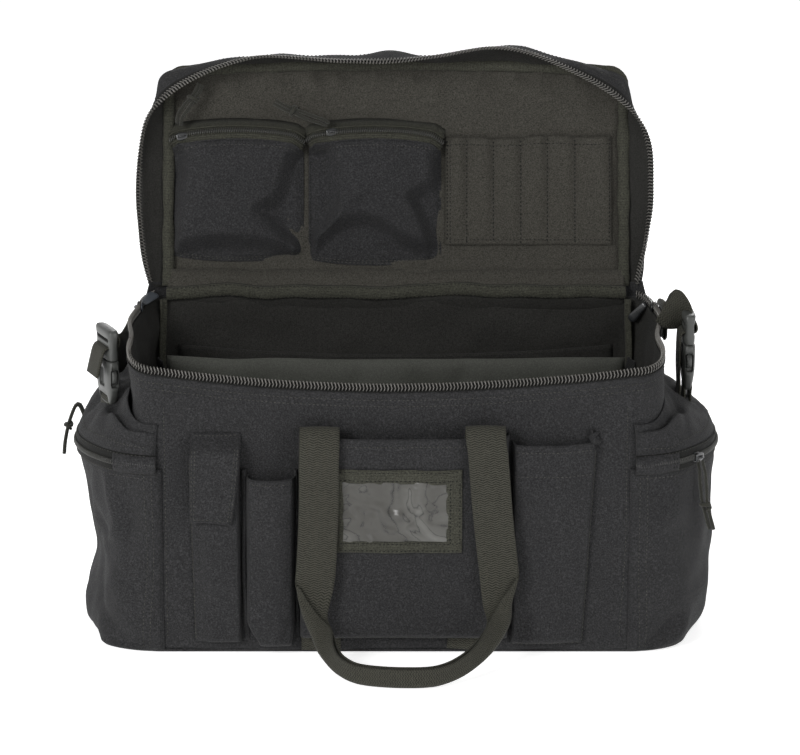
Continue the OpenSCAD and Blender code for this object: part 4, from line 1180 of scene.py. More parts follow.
BACK_LOOP = [(72, 120.6, 196), (72, 121.2, 211), (72, 123.5, 217), (72, 126, 219.5), (72, 129.5, 217),
             (72, 131.3, 210), (72, 131.8, 196), (72, 132, 150), (72, 132, 100), (71, 133, 62), (68, 136, 38),
             (60, 146, 20), (46, 167, 10), (26, 187, 6.5), (12, 194, 5.5), (0, 196, 5)]
BACK_SIDE = [(1, 0, 0)] * 9 + [(1, 0.05, 0), (1, 0.15, 0), (1, 0.4, 0), (0.7, 0.9, 0), (0.3, 1, 0),
                               (0.1, 1, 0), (0, 1, 0)]


def handle(name, loop, across, node):
    count = 220
    route = both_halves(loop)
    turned = np.asarray(across, float) * np.array([1, -1, -1])
    sides = np.vstack([turned, np.asarray(across, float)[-2::-1]])
    path = smooth_path(route, count)
    s = lengths(route)
    t = np.linspace(0, s[-1], count)
    side = unit(np.stack([np.interp(t, s, sides[:, k]) for k in range(3)], axis=1))
    sheet = ribbon(name, path, side, WEBBING, 2.2, None, "webbing", crown=-0.6)
    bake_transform(sheet.obj)
    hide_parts(node)
    return sheet


rows = np.array([[*inner, *outer, fold] for inner, outer, fold in FRONT_LOOP], float)
dense = smooth_path(rows[:, [0, 1, 2, 3, 4, 5, 6]], 260)
inner_edge, outer_edge, fold = dense[:, :3], dense[:, 3:6], np.clip(dense[:, 6], 0, 19)[:, None]
across_way = unit(outer_edge - inner_edge)
facing = unit(np.cross(across_way, np.gradient(inner_edge, axis=0)))
share = np.linspace(0, 1, 13)[None, :]
doubled = np.maximum(fold, 0.8)
flat_part = WEBBING - doubled
w = np.hstack([flat_part * share, flat_part + doubled * share[:, 1:]])
where = np.where(w <= flat_part, w, flat_part + (w - flat_part) * (1 - 2 * ease(0.8, 4.5, fold)))
over = ease(0, 2.4, w - flat_part) * ease(0.8, 4.5, fold) * 3.0
swell = 0.8 * np.sin(math.pi * w / WEBBING) * ease(8, 0, fold)
grid = inner_edge[:, None] + across_way[:, None] * where[..., None] + facing[:, None] * (over + swell)[...,
                                                                                                       None]
grid[..., 2] = np.maximum(grid[..., 2], 1.5)
loop = cloth("front_handle_loop", grid, None, "webbing", 1.9)
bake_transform(loop.obj)
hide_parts("front_handle")
handle("back_handle_loop", BACK_LOOP, BACK_SIDE, "back_handle")


# ---- hinge, back pocket and divider ----------------------------------------------------------


def hinge_grid(points, x_half, seed, wave):
    """A strip across the hinge from (y, z) pairs, rippled along its length."""
    xs = np.linspace(-x_half, x_half, 150)
    pts = np.asarray(points, float)
    grid = np.zeros((len(pts), len(xs), 3))
    grid[..., 0] = xs
    along = np.stack([xs, xs * 0, xs * 0], axis=1)
    r = ripple(along, 46, seed) + 0.5 * ripple(along, 17, seed + 1)
    for i, (y, z) in enumerate(pts):
        share = math.sin(math.pi * i / (len(pts) - 1)) ** 0.5
        grid[i, :, 1] = y - wave * r * share
        grid[i, :, 2] = z + wave * 1.1 * ripple(along, 60, seed + 2)
    return grid


under = hinge_grid([(117.0, 284), (114.6, 290), (112.8, 297), (111.6, 304)], 232, 171, 0.4)
# The lining under the hinge binding is painted darker for the shade there.
cloth("hinge_lining", under, "bag", "lining_painted_shade", 1.0)
over = hinge_grid([(111.4, 303), (112.2, 309), (114.0, 314), (117.0, 320), (120.0, 328)], 232, 173, 0.5)
strip = cloth("hinge_lining_over", over, None, "lining_cloth", 1.0)
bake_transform(strip.obj)
tape = hinge_grid([(112.4, 299.5), (109.6, 300.5), (107.9, 303), (107.5, 306.5), (108.0, 310), (109.8, 312.6),
                   (112.8, 313.6)], 233, 175, 1.5)
binding = cloth("hinge_binding_tape", tape, "bag", "binding_tape", 1.2, replaced=("hinge_binding",))
binding.sew(0.01, 0.22, 0.99, 0.22, kind="thread_dark")
binding.sew(0.01, 0.80, 0.99, 0.80, kind="thread_dark")
outside = hinge_grid([(HALF_DEPTH + 0.6, 286), (HALF_DEPTH + 1.4, 294), (HALF_DEPTH + 2.6, 301),
                      (HALF_DEPTH + 4.2, 307),
                      (HALF_DEPTH + 6.8, 313), (HALF_DEPTH + 9.2, 321), (HALF_DEPTH + 11.4, 329)], 231, 179,
                     0.3)
strip = cloth("hinge_outside", outside[:, ::-1], None, "outer_cloth", 1.4)
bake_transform(strip.obj)

# Cloth corners that join the rim to the ends of the lid's gusset.
for sign, side in ((-1, "left"), (1, "right")):
    a = np.radians(np.linspace(88, 14, 24))
    foot = np.column_stack([SEAM_X + 29.0 * np.cos(a), SIDE_Y + 29.0 * np.sin(a),
                            296.0 - 3.0 * np.linspace(0, 1, 24)])
    foot_top = foot + np.array([0.8, 0.8, 5.5])
    shoulder = resample(np.array([(229, 121, 305), (238, 121, 306), (247, 118, 307), (252, 113, 306),
                                  (254, 104, 303)], float), 24)
    top = resample(np.array([(229, 126, 313), (236, 124.5, 314), (243, 121, 315), (249, 116.5, 316),
                             (251, 114.5, 317)], float), 24)
    rows = [foot, foot_top]
    for t in np.linspace(0.15, 1, 9):
        rows.append(lerp(lerp(foot_top, shoulder, t), lerp(shoulder, top, t), t))
    grid = np.stack(rows)
    grid = grid + 0.9 * ripple(grid, 22, 185)[..., None] * np.array([0.7, 0.7, 0])
    grid[..., 0] *= sign
    if sign > 0:
        grid = grid[:, ::-1]
    corner = cloth(f"hinge_corner_{side}", grid, None, "outer_cloth", 1.4)
    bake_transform(corner.obj)

# Back pocket, its top edge sagging away from the wall.
t, s = np.meshgrid(np.linspace(0, 1, 80), np.linspace(0, 1, 40))
px = lerp(-221, 221, t)
top_edge = 252 - 9.5 * (1 - (2 * t - 1) ** 2)
pz = lerp(40, 1, s) * 1.0
pz = 40 + (top_edge - 40) * s
sag = np.sin(math.pi * t) ** 0.5 * ease(0, 1, s)
py = 111.5 - 6.5 * sag - 1.2 * ripple(np.stack([px, px * 0, pz], -1), 70, 181)
# The back pocket uses the lining painted darker for the shade inside the bag.
back_pocket = cloth("back_pocket_cloth", np.stack([px, py, pz], axis=-1), "bag", "lining_painted_shade", 1.0,
                    replaced=("inner_pocket",))
back_pocket.sew(0.01, 0.985, 0.99, 0.985, kind="thread_dark")


def puff(obj, pressure, cap):
    """Swells a closed pad by a short pressure simulation, no point moving further than cap."""
    before = np.array([v.co for v in obj.data.vertices])
    cloth_mod = obj.modifiers.new("pressure", "CLOTH")
    settings = cloth_mod.settings
    settings.use_pressure = True
    settings.uniform_pressure_force = pressure
    settings.effector_weights.gravity = 0
    settings.quality = 4
    scene = bpy.context.scene
    for f in range(1, 21):
        scene.frame_set(f)
    shaped = obj.evaluated_get(bpy.context.evaluated_depsgraph_get()).data
    after = np.array([v.co for v in shaped.vertices])
    obj.modifiers.clear()
    move = after - before
    size = np.linalg.norm(move, axis=1, keepdims=True)
    move *= np.minimum(1, cap * MM / np.maximum(size, 1e-9))
    obj.data.vertices.foreach_set("co", (before + move).ravel())
    obj.data.update()
    scene.frame_set(1)


def padded_panel(name, half, z0, top, y, thick, body, kind, replaced):
    """A padded panel: a closed grid mesh of its outline, swollen by pressure, then waved along its top."""
    nx, nz = 90, 48
    t, s = np.meshgrid(np.linspace(0, 1, nx), np.linspace(0, 1, nz))
    xx = lerp(-half, half, t)
    edge = top(xx)
    zz = z0 + (edge - z0) * s
    thin = np.sqrt(np.clip(1 - np.maximum(np.abs(2 * t - 1) ** 24, np.abs(2 * s - 1) ** 24), 0,
                           1)) * thick / 2 + 0.4
    front, back = y - thin, y + thin
    at = np.arange(nx * nz).reshape(nz, nx)
    far = at + nx * nz
    faces = [np.stack([at[:-1, :-1], at[:-1, 1:], at[1:, 1:], at[1:, :-1]], -1).reshape(-1, 4),
             np.stack([far[:-1, :-1], far[1:, :-1], far[1:, 1:], far[:-1, 1:]], -1).reshape(-1, 4),
             np.stack([at[0, :-1], far[0, :-1], far[0, 1:], at[0, 1:]], -1),
             np.stack([at[-1, 1:], far[-1, 1:], far[-1, :-1], at[-1, :-1]], -1),
             np.stack([at[:-1, 0], at[1:, 0], far[1:, 0], far[:-1, 0]], -1),
             np.stack([at[1:, -1], at[:-1, -1], far[:-1, -1], far[1:, -1]], -1)]
    points = np.vstack([np.stack([xx, front, zz], -1).reshape(-1, 3),
                        np.stack([xx, back, zz], -1).reshape(-1, 3)])
    obj = make(name, points, np.vstack(faces), None, kind)
    puff(obj, 2.5, 2.2)
    co = np.array([v.co for v in obj.data.vertices]) / MM
    p = co.copy()
    p[:, 1] = 0
    co[:, 1] += 1.6 * ripple(p, 110, 191) + 0.7 * ripple(p, 42, 192)
    for a, b, d, w in (((-34, 256), (-44, 215), -3.4, 9), ((16, 256), (34, 210), -3.6, 10),
                       ((70, 256), (58, 226), -2.2, 8),
                       ((140, 258), (150, 220), -2.0, 12), ((-120, 258), (-128, 226), -1.8, 12)):
        co[:, 1] -= crease(co[:, 0], co[:, 2], a, b, d, w, 0.8)
    co[:, 2] += 1.0 * ripple(p, 70, 193) * ease(180, 256, co[:, 2])
    obj.data.vertices.foreach_set("co", (co * MM).ravel())
    obj.data.update()
    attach(obj, body)
    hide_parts(*replaced)
    return obj


DIVIDER_Y = (low("divider_panel")[1] + high("divider_panel")[1]) / 2
padded_panel("divider_pad", 227, 8, lambda x: 263 + 2 * (x / 227) ** 2, DIVIDER_Y, 4.6, "divider", "divider",
             ("divider_panel",))
for sign in (-1, 1):
    h, t = np.meshgrid(np.linspace(60, 250, 40), np.linspace(-1, 1, 9), indexing="ij")
    grid = np.stack([sign * (229.6 + 0.5 * np.sin(h / 21)), DIVIDER_Y + 15 * t * (1 if sign > 0 else -1), h],
                    axis=-1)
    cloth(f"divider_tab_{'left' if sign < 0 else 'right'}", grid[:, ::-1], "divider", "hook_tape", 1.4,
          replaced=("divider_tabs",))
    h = np.linspace(225, 262, 16)
    path = np.stack([sign * lerp(222, 232, ease(225, 262, h)), DIVIDER_Y - 8 + h * 0, h], axis=1)
    ribbon(f"divider_ear_{'left' if sign < 0 else 'right'}", path, np.tile([0.3, -1, 0], (16, 1)), 22, 1.4,
           "divider", "hook_tape")


# ---- lid -------------------------------------------------------------------------------------

LID_UNDER = HINGE_Z + 2
LID_FRONT = 6 - HALF_DEPTH
LID_ARC = 13.0


def lid_bow(x, y):
    """The lid's front edge draws back towards its corners."""
    return 7.5 * (np.abs(x) / LID_HALF) ** 2.6 * ease(40.0, -116.0, y)


def lid_rows(front, back, half, arc, rows, cols):
    """A grid over the lid in its closed plan, with rounded front corners: x and y."""
    ys = np.linspace(front, back, rows) if arc <= 0 else np.concatenate(
        [front + arc * (1 - np.cos(np.linspace(0, math.pi / 2, 8)))[:-1],
         np.linspace(front + arc, back, rows - 7)])
    inside_y = np.clip(front + arc - ys, 0, arc)
    halves = half - arc + np.sqrt(np.maximum(arc**2 - inside_y**2, 0))
    xx = halves[:, None] * np.linspace(-1, 1, cols)[None]
    return xx, ys[:, None] + lid_bow(xx, ys[:, None])


xx, yy = lid_rows(LID_FRONT, HINGE_Y - 1, LID_HALF, LID_ARC, 60, 110)
p = np.stack([xx, yy, xx * 0], axis=-1)
rest_edge = 1 - np.maximum(np.abs(xx) / LID_HALF, np.abs(yy / 118.0)) ** 6
zz = LID_UNDER + 4.8 + rest_edge * (1.4 * ripple(p, 120, 201) + 0.6 * ripple(p, 50, 202))
lid_top = cloth("lid_outer", open_lid(np.stack([xx, yy, zz], axis=-1)), "lid", "outer_cloth", 1.6,
                replaced=("lid_panel",))
for inset in (0.015, 0.03):
    lid_top.sew(inset, 0.10, inset, 0.98)
    lid_top.sew(1 - inset, 0.10, 1 - inset, 0.98)
    lid_top.sew(0.05, inset * 2, 0.95, inset * 2)

xx, yy = lid_rows(LID_FRONT + 2, HINGE_Y - 6, LID_HALF - 2, LID_ARC, 70, 130)
p = np.stack([xx, yy, xx * 0], axis=-1)
free = (1 - (np.abs(xx) / (LID_HALF - 2)) ** 16) * (1 - np.abs((yy + 1) / 114.0) ** 24)
sag = 1.0 + 1.5 * ripple(p, 95, 211) + 0.7 * ripple(p, 38, 212)
for a, b, d, w in (((60, -92), (110, -84), 3.0, 9), ((120, -96), (165, -78), 3.0, 9),
                   ((-150, -88), (-60, -96), 2.2, 9),
                   ((-60, 100), (40, 96), 3.5, 5), ((-20, 92), (10, 102), -3, 5),
                   ((190, -70), (214, -30), 2.4, 10),
                   ((-225, 70), (-190, 100), 2.5, 8), ((90, 98), (190, 102), 2.4, 5)):
    sag = sag + crease(xx, yy, a, b, d, w, 0.8)
for i, at in enumerate((-170, -128, -88, -62, -22, 12, 44, 88, 118, 150, 186)):
    lean = 9 * math.sin(at * 0.7)
    sag = sag + crease(xx, yy, (at, LID_FRONT + 1), (at + lean, LID_FRONT + 22 + 7 * math.cos(at)), 5.0, 5.5,
                       0.7)
    sag = sag - crease(xx, yy, (at + 13, LID_FRONT + 4), (at + 13 - lean, LID_FRONT + 16), 2.0, 6, 1.0)
for i, at in enumerate((-200, -150, -90, -30, 10, 60, 120, 170)):
    sag = sag + crease(xx, yy, (at, 99 + 2 * math.sin(at)), (at + 42, 101), 4.5, 3.6, 0.8)
zz = LID_UNDER + 0.8 - free * np.clip(sag, 0.4, None)
cloth("lid_lining", open_lid(np.stack([xx, yy, zz], axis=-1))[:, ::-1], "lid", "lining_cloth", 1.0)

# Zip edge of the closed lid, seen from above: a squared oval that swells where the front slumps.
# Each slump has its place across the lid, its width and how far it swells.
ZIP_HALF_LEFT = 259.0
ZIP_HALF_RIGHT = 256.5
ZIP_CENTRE_Y = 15.0
ZIP_FRONT = 127.0
ZIP_BACK = 335.0
ZIP_BACK_END = 112.0
SQUARE_LEFT = 3.9
SQUARE_RIGHT = 3.4
SQUARE_BACK = 2.0
SLUMPS = ((-140, 55, 7.5), (110, 62, 15.5))


def zip_outline(count):
    """Points of the zip edge, from the left hinge corner round the front to the right one."""
    reach = math.asin((ZIP_BACK_END - ZIP_CENTRE_Y) / ZIP_BACK)
    turn = np.linspace(-reach, math.pi + reach, 400)
    across, forward = -np.cos(turn), np.sin(turn)
    square = np.where(across < 0, SQUARE_LEFT, SQUARE_RIGHT)
    power = 2 / np.where(forward > 0, square, SQUARE_BACK)
    half = np.where(across < 0, ZIP_HALF_LEFT, ZIP_HALF_RIGHT)
    x = half * np.sign(across) * np.abs(across) ** power
    depth = np.where(forward > 0, ZIP_FRONT, ZIP_BACK)
    y = ZIP_CENTRE_Y - depth * np.sign(forward) * np.abs(forward) ** power
    for centre, width, swell in SLUMPS:
        y = y - swell * hump(x, centre, width) * (forward > 0)
    return resample(np.column_stack([x, y]), count)


def zip_edge_z(x, y):
    """Height of the closed lid's zip edge."""
    front = FRONT_MID + (SEAM_HEIGHT - FRONT_MID) * (x / SEAM_X) ** 2
    side = lerp(CORNER_HEIGHT, SIDE_BACK_HEIGHT, np.clip((y + SIDE_Y) / (2 * SIDE_Y), 0, 1.2))
    return 5.5 + lerp(front, side, ease(-112, -70, y))


def lid_border(inset, count):
    """Edge of the lid panel from the left hinge end round the front to the right."""
    half, front, r = LID_HALF - inset, LID_FRONT + inset, LID_ARC - inset * 0.5
    a = np.radians(np.linspace(180, 270, 14))
    left = np.stack([r - half + r * np.cos(a), front + r + r * np.sin(a)], 1)
    a = np.radians(np.linspace(270, 360, 14))
    right = np.stack([half - r + r * np.cos(a), front + r + r * np.sin(a)], 1)
    edge = resample(np.vstack([[(-half, HINGE_Y - 5)], left, right, [(half, HINGE_Y - 5)]]), count)
    return edge + np.column_stack([edge[:, 0] * 0, lid_bow(edge[:, 0], edge[:, 1])])


COUNT = 260
zip_xy = zip_outline(COUNT)
edge = lid_border(0, COUNT)
zip_z = zip_edge_z(zip_xy[:, 0], zip_xy[:, 1])
edge3 = np.column_stack([edge, np.full(COUNT, LID_UNDER + 3.0)])
zip3 = np.column_stack([zip_xy, zip_z])
t = np.linspace(0, 1, 16)[:, None, None]
grid = lerp(zip3[None], edge3[None], t)
away = unit(np.column_stack([edge[:, 0], edge[:, 1] * 1.0, np.zeros(COUNT)]))
belly = np.sin(math.pi * t) * (5.0 + 6.0 * ease(-60, -104, edge[:, 1]) + 2.5 * ripple(zip3, 70, 221))[:, None]
grid = grid + away[None] * belly
grid = grid + away[None] * np.sin(math.pi * t) * 1.3 * ripple(grid, 36, 222)[..., None]
gusset = cloth("lid_gusset", open_lid(grid), "lid", "outer_cloth", 1.3,
               replaced=("lid_front_gusset", "lid_left_gusset", "lid_right_gusset"))
gusset.sew(0.02, 0.30, 0.98, 0.30)
# The gusset's lining is painted darker for the shade inside the lid's gusset.
cloth("lid_gusset_lining", (gusset.grid - gusset.normals * 1.5)[:, ::-1], "lid", "lining_painted_shade", 0.6)

# Zip on the gusset's edge.
step = np.linspace(0, 1, 4)[:, None, None]
down = unit(zip3 - grid[3])
tape_grid = zip3[None] + down[None] * lerp(-5.0, 5.2, step) + away[None] * 0.7
cloth("lid_zip_tape", open_lid(tape_grid[::-1]), "lid", "zip_tape", 0.9, replaced=("lid_zip",))
swung = open_lid(zip3 + down * 3.6)
lid_down, lid_away = open_lid(zip3 + down) - open_lid(zip3), open_lid(zip3 + away) - open_lid(zip3)
coil("lid_zip_coil", swung, lid_down, lid_away, "lid", height=4.2, depth=3.4, pitch=3.3, wire=0.6)
coil("lid_zip_coil_legs", open_lid(zip3 + down * 0.6), -lid_down, lid_away, "lid", height=3.2, depth=3.0,
     pitch=3.3, wire=0.5)

# Puckered binding over the seam between lining and gusset.
border = lid_border(-0.5, 240)
wob = np.column_stack([border, border[:, 0] * 0])
pinch = 1 + 0.10 * ripple(wob, 30, 231) + 0.06 * ripple(wob, 12, 232)
border3 = np.column_stack([border, LID_UNDER - 2.4 - 1.0 * ripple(wob, 40, 233)])
side = np.cross(unit(np.gradient(border3, axis=0)), np.array([0, 0, 1.0]))
across_t = np.linspace(-1, 1, 9)
grid = border3[:, None] + side[:, None] * (across_t[None, :, None] * (5.0 * pinch)[:, None, None])
grid[..., 2] -= (2.4 * (1 - across_t[None] ** 2)) * pinch[:, None]
bind = cloth("lid_binding_tape", open_lid(grid), "lid", "binding_tape", 1.2, replaced=("lid_binding",))
bind.sew(0.2, 0.005, 0.2, 0.995, kind="thread_dark")


def inside(x, y, outline):
    """Distance in millimetres inside a closed outline, negative outside it."""
    outline = np.asarray(outline, float)
    best = np.full(x.shape, 1e9)
    within = np.zeros(x.shape, bool)
    for (ax, ay), (bx, by) in zip(outline, np.roll(outline, -1, axis=0)):
        dx, dy = bx - ax, by - ay
        t = np.clip(((x - ax) * dx + (y - ay) * dy) / (dx * dx + dy * dy), 0, 1)
        best = np.minimum(best, np.hypot(x - ax - t * dx, y - ay - t * dy))
        crosses = (ay > y) != (by > y)
        within ^= crosses & (x < (bx - ax) * (y - ay) / (by - ay + 1e-12) + ax)
    return np.where(within, best, -best)


def lid_pocket(name, x0, x1, foot, seed, face, folds, replaced):
    """A bellows pocket: an arched zip across its head and a full front face between its creases.
    face is the outline of the part that stands out, in the closed lid's plan."""
    head, rise = -28.5, 7.0
    face = smooth_path([(x, y, 0) for x, y in face + face[:1]], 90)[:-1, :2]
    u = np.concatenate([np.linspace(0, 0.05, 6), np.linspace(0.06, 0.94, 90), np.linspace(0.95, 1, 6)])
    v = np.linspace(0, 1, 100)
    uu, vv = np.meshgrid(u, v)
    arch = head - rise * np.sin(math.pi * uu) ** 0.8 + 5.0 * ease(0.9, 1.0, uu) + 2.5 * ease(0.06, 0.0, uu)
    base = foot + 8.0 * np.sin(math.pi * uu) ** 0.5 - 8.0
    xx, yy = lerp(x0, x1, uu), lerp(arch, base, vv)
    depth_in = inside(xx, yy, face)
    stand = 2.6 + 16.0 * ease(-9.0, 10.0, depth_in) + 1.6 * ease(0, 30, depth_in)
    edge_mm = np.minimum(uu, 1 - uu) * (x1 - x0)
    rim_share = ease(0, 9.0, edge_mm) * ease(0, 0.06, 1 - vv)
    p = np.stack([xx, yy, xx * 0 + seed], axis=-1)
    stand = stand + 1.3 * ripple(p, 50, seed) + 0.7 * ripple(p, 21, seed + 1)
    for a, b, d, w, sharp in folds:
        stand = stand + crease(xx, yy, a, b, d, w, sharp)
    # Under the zip the cloth stands at the height of the tape.
    near = ease(0.10, 0.0, vv)
    stand = lerp(stand, 19.0 * ease(0, 5, edge_mm), near)
    zz = LID_UNDER - 0.8 - np.clip(stand * np.maximum(rim_share, near), 0.5, 23)
    sheet = cloth(name, open_lid(np.stack([xx, yy, zz], axis=-1))[:, ::-1], "lid", "outer_cloth", 1.2,
                  replaced=replaced)
    for row in (0.965, 0.982):
        sheet.sew(0.03, row, 0.97, row)
    sheet.sew(0.03, 0.05, 0.97, 0.05)
    sheet.sew(0.015, 0.10, 0.015, 0.97, kind="thread_dark")
    sheet.sew(0.985, 0.10, 0.985, 0.97, kind="thread_dark")
    # Zip strip: two tapes and a closed coil on the arch, from the lining down to the front.
    tt = np.linspace(0.01, 0.99, 70)
    line_y = head - rise * np.sin(math.pi * tt) ** 0.8 + 5.0 * ease(0.9, 1.0, tt) + 2.5 * ease(0.06, 0.0, tt)
    up = np.minimum(1, np.sin(math.pi * tt) ** 0.3 + 0.1)
    rows = [np.stack([lerp(x0, x1, tt) + 0.25 * dy * np.cos(math.pi * tt), line_y + dy, LID_UNDER - z * up],
                     axis=1)
            for dy, z in ((-23, 0.6), (-17.5, 8.0), (-13, 14.5), (-8.5, 17.8), (-4.0, 19.4), (0.8, 20.6))]
    strip = np.stack(rows)
    cloth(f"{name}_zip_tape", open_lid(strip)[:, ::-1], "lid", "binding_tape", 1.0)
    line, normal = strip[3], normals_of(strip)[3]
    ridge = unit(strip[4] - strip[2])
    turned = open_lid(line)
    coil(f"{name}_zip_coil", open_lid(line - normal * 1.3), open_lid(line + ridge) - turned,
         open_lid(line - normal) - turned,
         "lid", "zip_dark", height=5.0, depth=2.4, pitch=2.3, wire=0.5)
    for row in (2, 4, 5):
        edge_line = open_lid(strip[row] - normals_of(strip)[row] * 0.8)
        tube(f"{name}_zip_edge_{row}", edge_line, 0.8, "lid", "binding_tape" if row < 5 else "outer_cloth",
             sides=8)
    return sheet


LEFT_FACE = [(-222, -60), (-90, -60), (-98, -28), (-107, -14), (-117, 20), (-130, 31), (-141, 39),
             (-123, 55), (-104, 70),
             (-99, 79), (-118, 75), (-158, 69), (-194, 69), (-221, 75), (-229, 79), (-222, 42), (-218, 6),
             (-216, -24)]
MIDDLE_FACE = [(-70, -60), (50, -60), (42, -27), (40, -9), (36, 11), (16, 23), (24, 42), (34, 67), (28, 74),
               (16, 73),
               (2, 65), (-16, 51), (-35, 46), (-52, 49), (-67, 59), (-79, 68), (-84, 65), (-75, 53),
               (-65, 41), (-63, 12),
               (-67, -14), (-68, -29)]
LEFT_POCKET_FOLDS = [((-150, 30), (-112, 66), 4.0, 8, 0.8), ((-200, 20), (-165, 60), 1.5, 18, 1.0),
                     ((-210, 62), (-150, 60), 2.5, 9, 1.0), ((-104, 74), (-99, 86), 5.0, 4, 0.8)]
MIDDLE_POCKET_FOLDS = [((-7, -11), (-72, 50), 4.5, 7, 0.8), ((-62, -10), (-50, 24), -3.0, 9, 1.0),
                       ((10, 20), (30, 66), 4.0, 7, 0.8),
                       ((-80, 68), (-86, 84), 5.0, 4, 0.8), ((30, 70), (32, 86), 4.0, 4, 0.8),
                       ((-30, 40), (10, 56), 2.0, 8, 1.0)]
lid_pocket("lid_pocket_left_cloth", -228, -94, 88, 301, LEFT_FACE, LEFT_POCKET_FOLDS,
           ("lid_pocket_left", "lid_pocket_zips"))
lid_pocket("lid_pocket_middle_cloth", -89, 46, 92, 311, MIDDLE_FACE, MIDDLE_POCKET_FOLDS,
           ("lid_pocket_middle",))

# Pen organiser: a strip sewn down in six loops.
SEAMS = [50, 72, 99, 127, 154, 182, 219]
u = np.linspace(0, 1, 121)
v = np.linspace(0, 1, 40)
uu, vv = np.meshgrid(u, v)
xx = lerp(50.0, 219.0, uu)
yy = lerp(-37.0, 71.0, vv) - 3.0 * uu * (1 - vv) + 1.2 * np.sin(xx / 14) * (1 - vv)
loop = np.ones_like(xx)
for seam in SEAMS:
    loop = np.minimum(loop, np.clip(np.abs(xx - seam) / 9.0, 0, 1))
loop = np.sin(loop * math.pi / 2)
puffed = (2.4 + 2.0 * (1 - vv)) * loop * (0.35 + 0.65 * ease(1.0, 0.75, vv))
p = np.stack([xx, yy, xx * 0], axis=-1)
zz = LID_UNDER - 2.6 - puffed - 0.5 * ripple(p, 30, 321) - np.interp(xx, [50, 219], [0.6, 0.6])
pens = cloth("pen_organiser_cloth", open_lid(np.stack([xx, yy, zz], axis=-1))[:, ::-1], "lid",
             "lining_cloth", 1.0,
             replaced=("pen_organiser",))
for seam in SEAMS:
    share = 1 - (seam - 50) / 169.0
    share = min(max(share, 0.012), 0.988)
    pens.sew(share, 0.01, share, 0.99, kind="thread_dark", radius=0.6)
pens.sew(0.01, 0.07, 0.99, 0.07, kind="thread_dark")
pens.sew(0.01, 0.955, 0.99, 0.955, kind="thread_dark")
pens.sew(0.97, 0.01, 0.97, 0.99, kind="thread_dark")


# ---- sliders ---------------------------------------------------------------------------------


def cast(name, parts, frame_of, body, kind="slider_metal", replaced=()):
    """Joins lofted forms, each drawn up the local z axis, and places them by frame_of."""
    points, faces, start = [], [], 0
    for p, f in parts:
        points.append(frame_of(np.asarray(p, float)))
        faces += [[i + start for i in face] for face in f]
        start += len(p)
    flat_uv = [[0, 0]] * sum(map(len, faces))
    return make(name, np.vstack(points), faces, body, kind, flat_uv, replaced)


def loop_part(path, radius, sides=8):
    p, f, _ = tube_mesh(path, radius, sides)
    return p, f


def axes(origin, along, out):
    """Places local x along, y out and z up their cross product."""
    along, out = unit(np.asarray(along, float)), unit(np.asarray(out, float))
    up = np.cross(along, out)
    origin = np.asarray(origin, float)
    return lambda p: origin + p[:, :1] * along + p[:, 1:2] * out + p[:, 2:3] * up


def slider_parts(length, width, thick, tab=True):
    """A slider's two plates, its crown and a bridge for the pull: local x along the zip, y off its face."""
    parts = []
    shape = [(-length / 2, 0.62), (-length / 2 + 0.8, 0.8), (-length * 0.2, 0.95), (length * 0.2, 0.86),
             (length / 2 - 1, 0.66),
             (length / 2, 0.5)]
    for y, t in ((thick / 2, 0.8), (-thick / 2, 0.8)):
        rows, faces = loft([(0, y, x, width / 2 * w, t) for x, w in shape], 20, 3.0)
        parts.append((rows[:, [2, 1, 0]] * np.array([1, 1, -1]), faces))
    rows, faces = loft([(0, 0, length * 0.28, 1.5, thick / 2), (0, 0, length / 2 - 0.5, 1.8, thick / 2)], 12,
                       3.0)
    parts.append((rows[:, [2, 1, 0]] * np.array([1, 1, -1]), faces))
    if tab:
        arc = np.linspace(0, math.pi, 14)
        bridge = np.stack([-length * 0.3 * np.cos(arc), thick / 2 + 0.4 + 3.0 * np.sin(arc), np.zeros(14)],
                          axis=1)
        parts.append(loop_part(bridge, 0.9))
    return parts


track_x = END_REACH - 150.0
for sign, side, angle in ((1, "right", -35.0), (-1, "left", 20.0)):
    a = math.radians(angle)
    out = np.array([sign * math.cos(a), math.sin(a), 0])
    along = np.array([-sign * math.sin(a), math.cos(a), 0]) * (1 if sign > 0 else -1)
    place = np.array([sign * (track_x + 153.2 * math.cos(a)), 153.2 * math.sin(a), ZIP_Z + 0.2])
    cast(f"{side}_end_slider_body", slider_parts(13, 10, 3.4), axes(place, along, out), f"{side}_end_slider",
         replaced=(f"{side}_end_slider",))

for name, x, y in (("left_lid", -217.0, -38.0), ("middle_lid", -65.0, -42.5)):
    spot = np.array([x, y, LID_ZIP_Z - 3.2])
    frame_of = axes(spot, (0.95, -0.2, 0), (0, 0, -1))
    parts = slider_parts(11, 8, 3.0)
    cast(f"{name}_slider_body", parts, lambda p, g=frame_of: open_lid(g(p)), f"{name}_slider",
         replaced=(f"{name}_slider",))

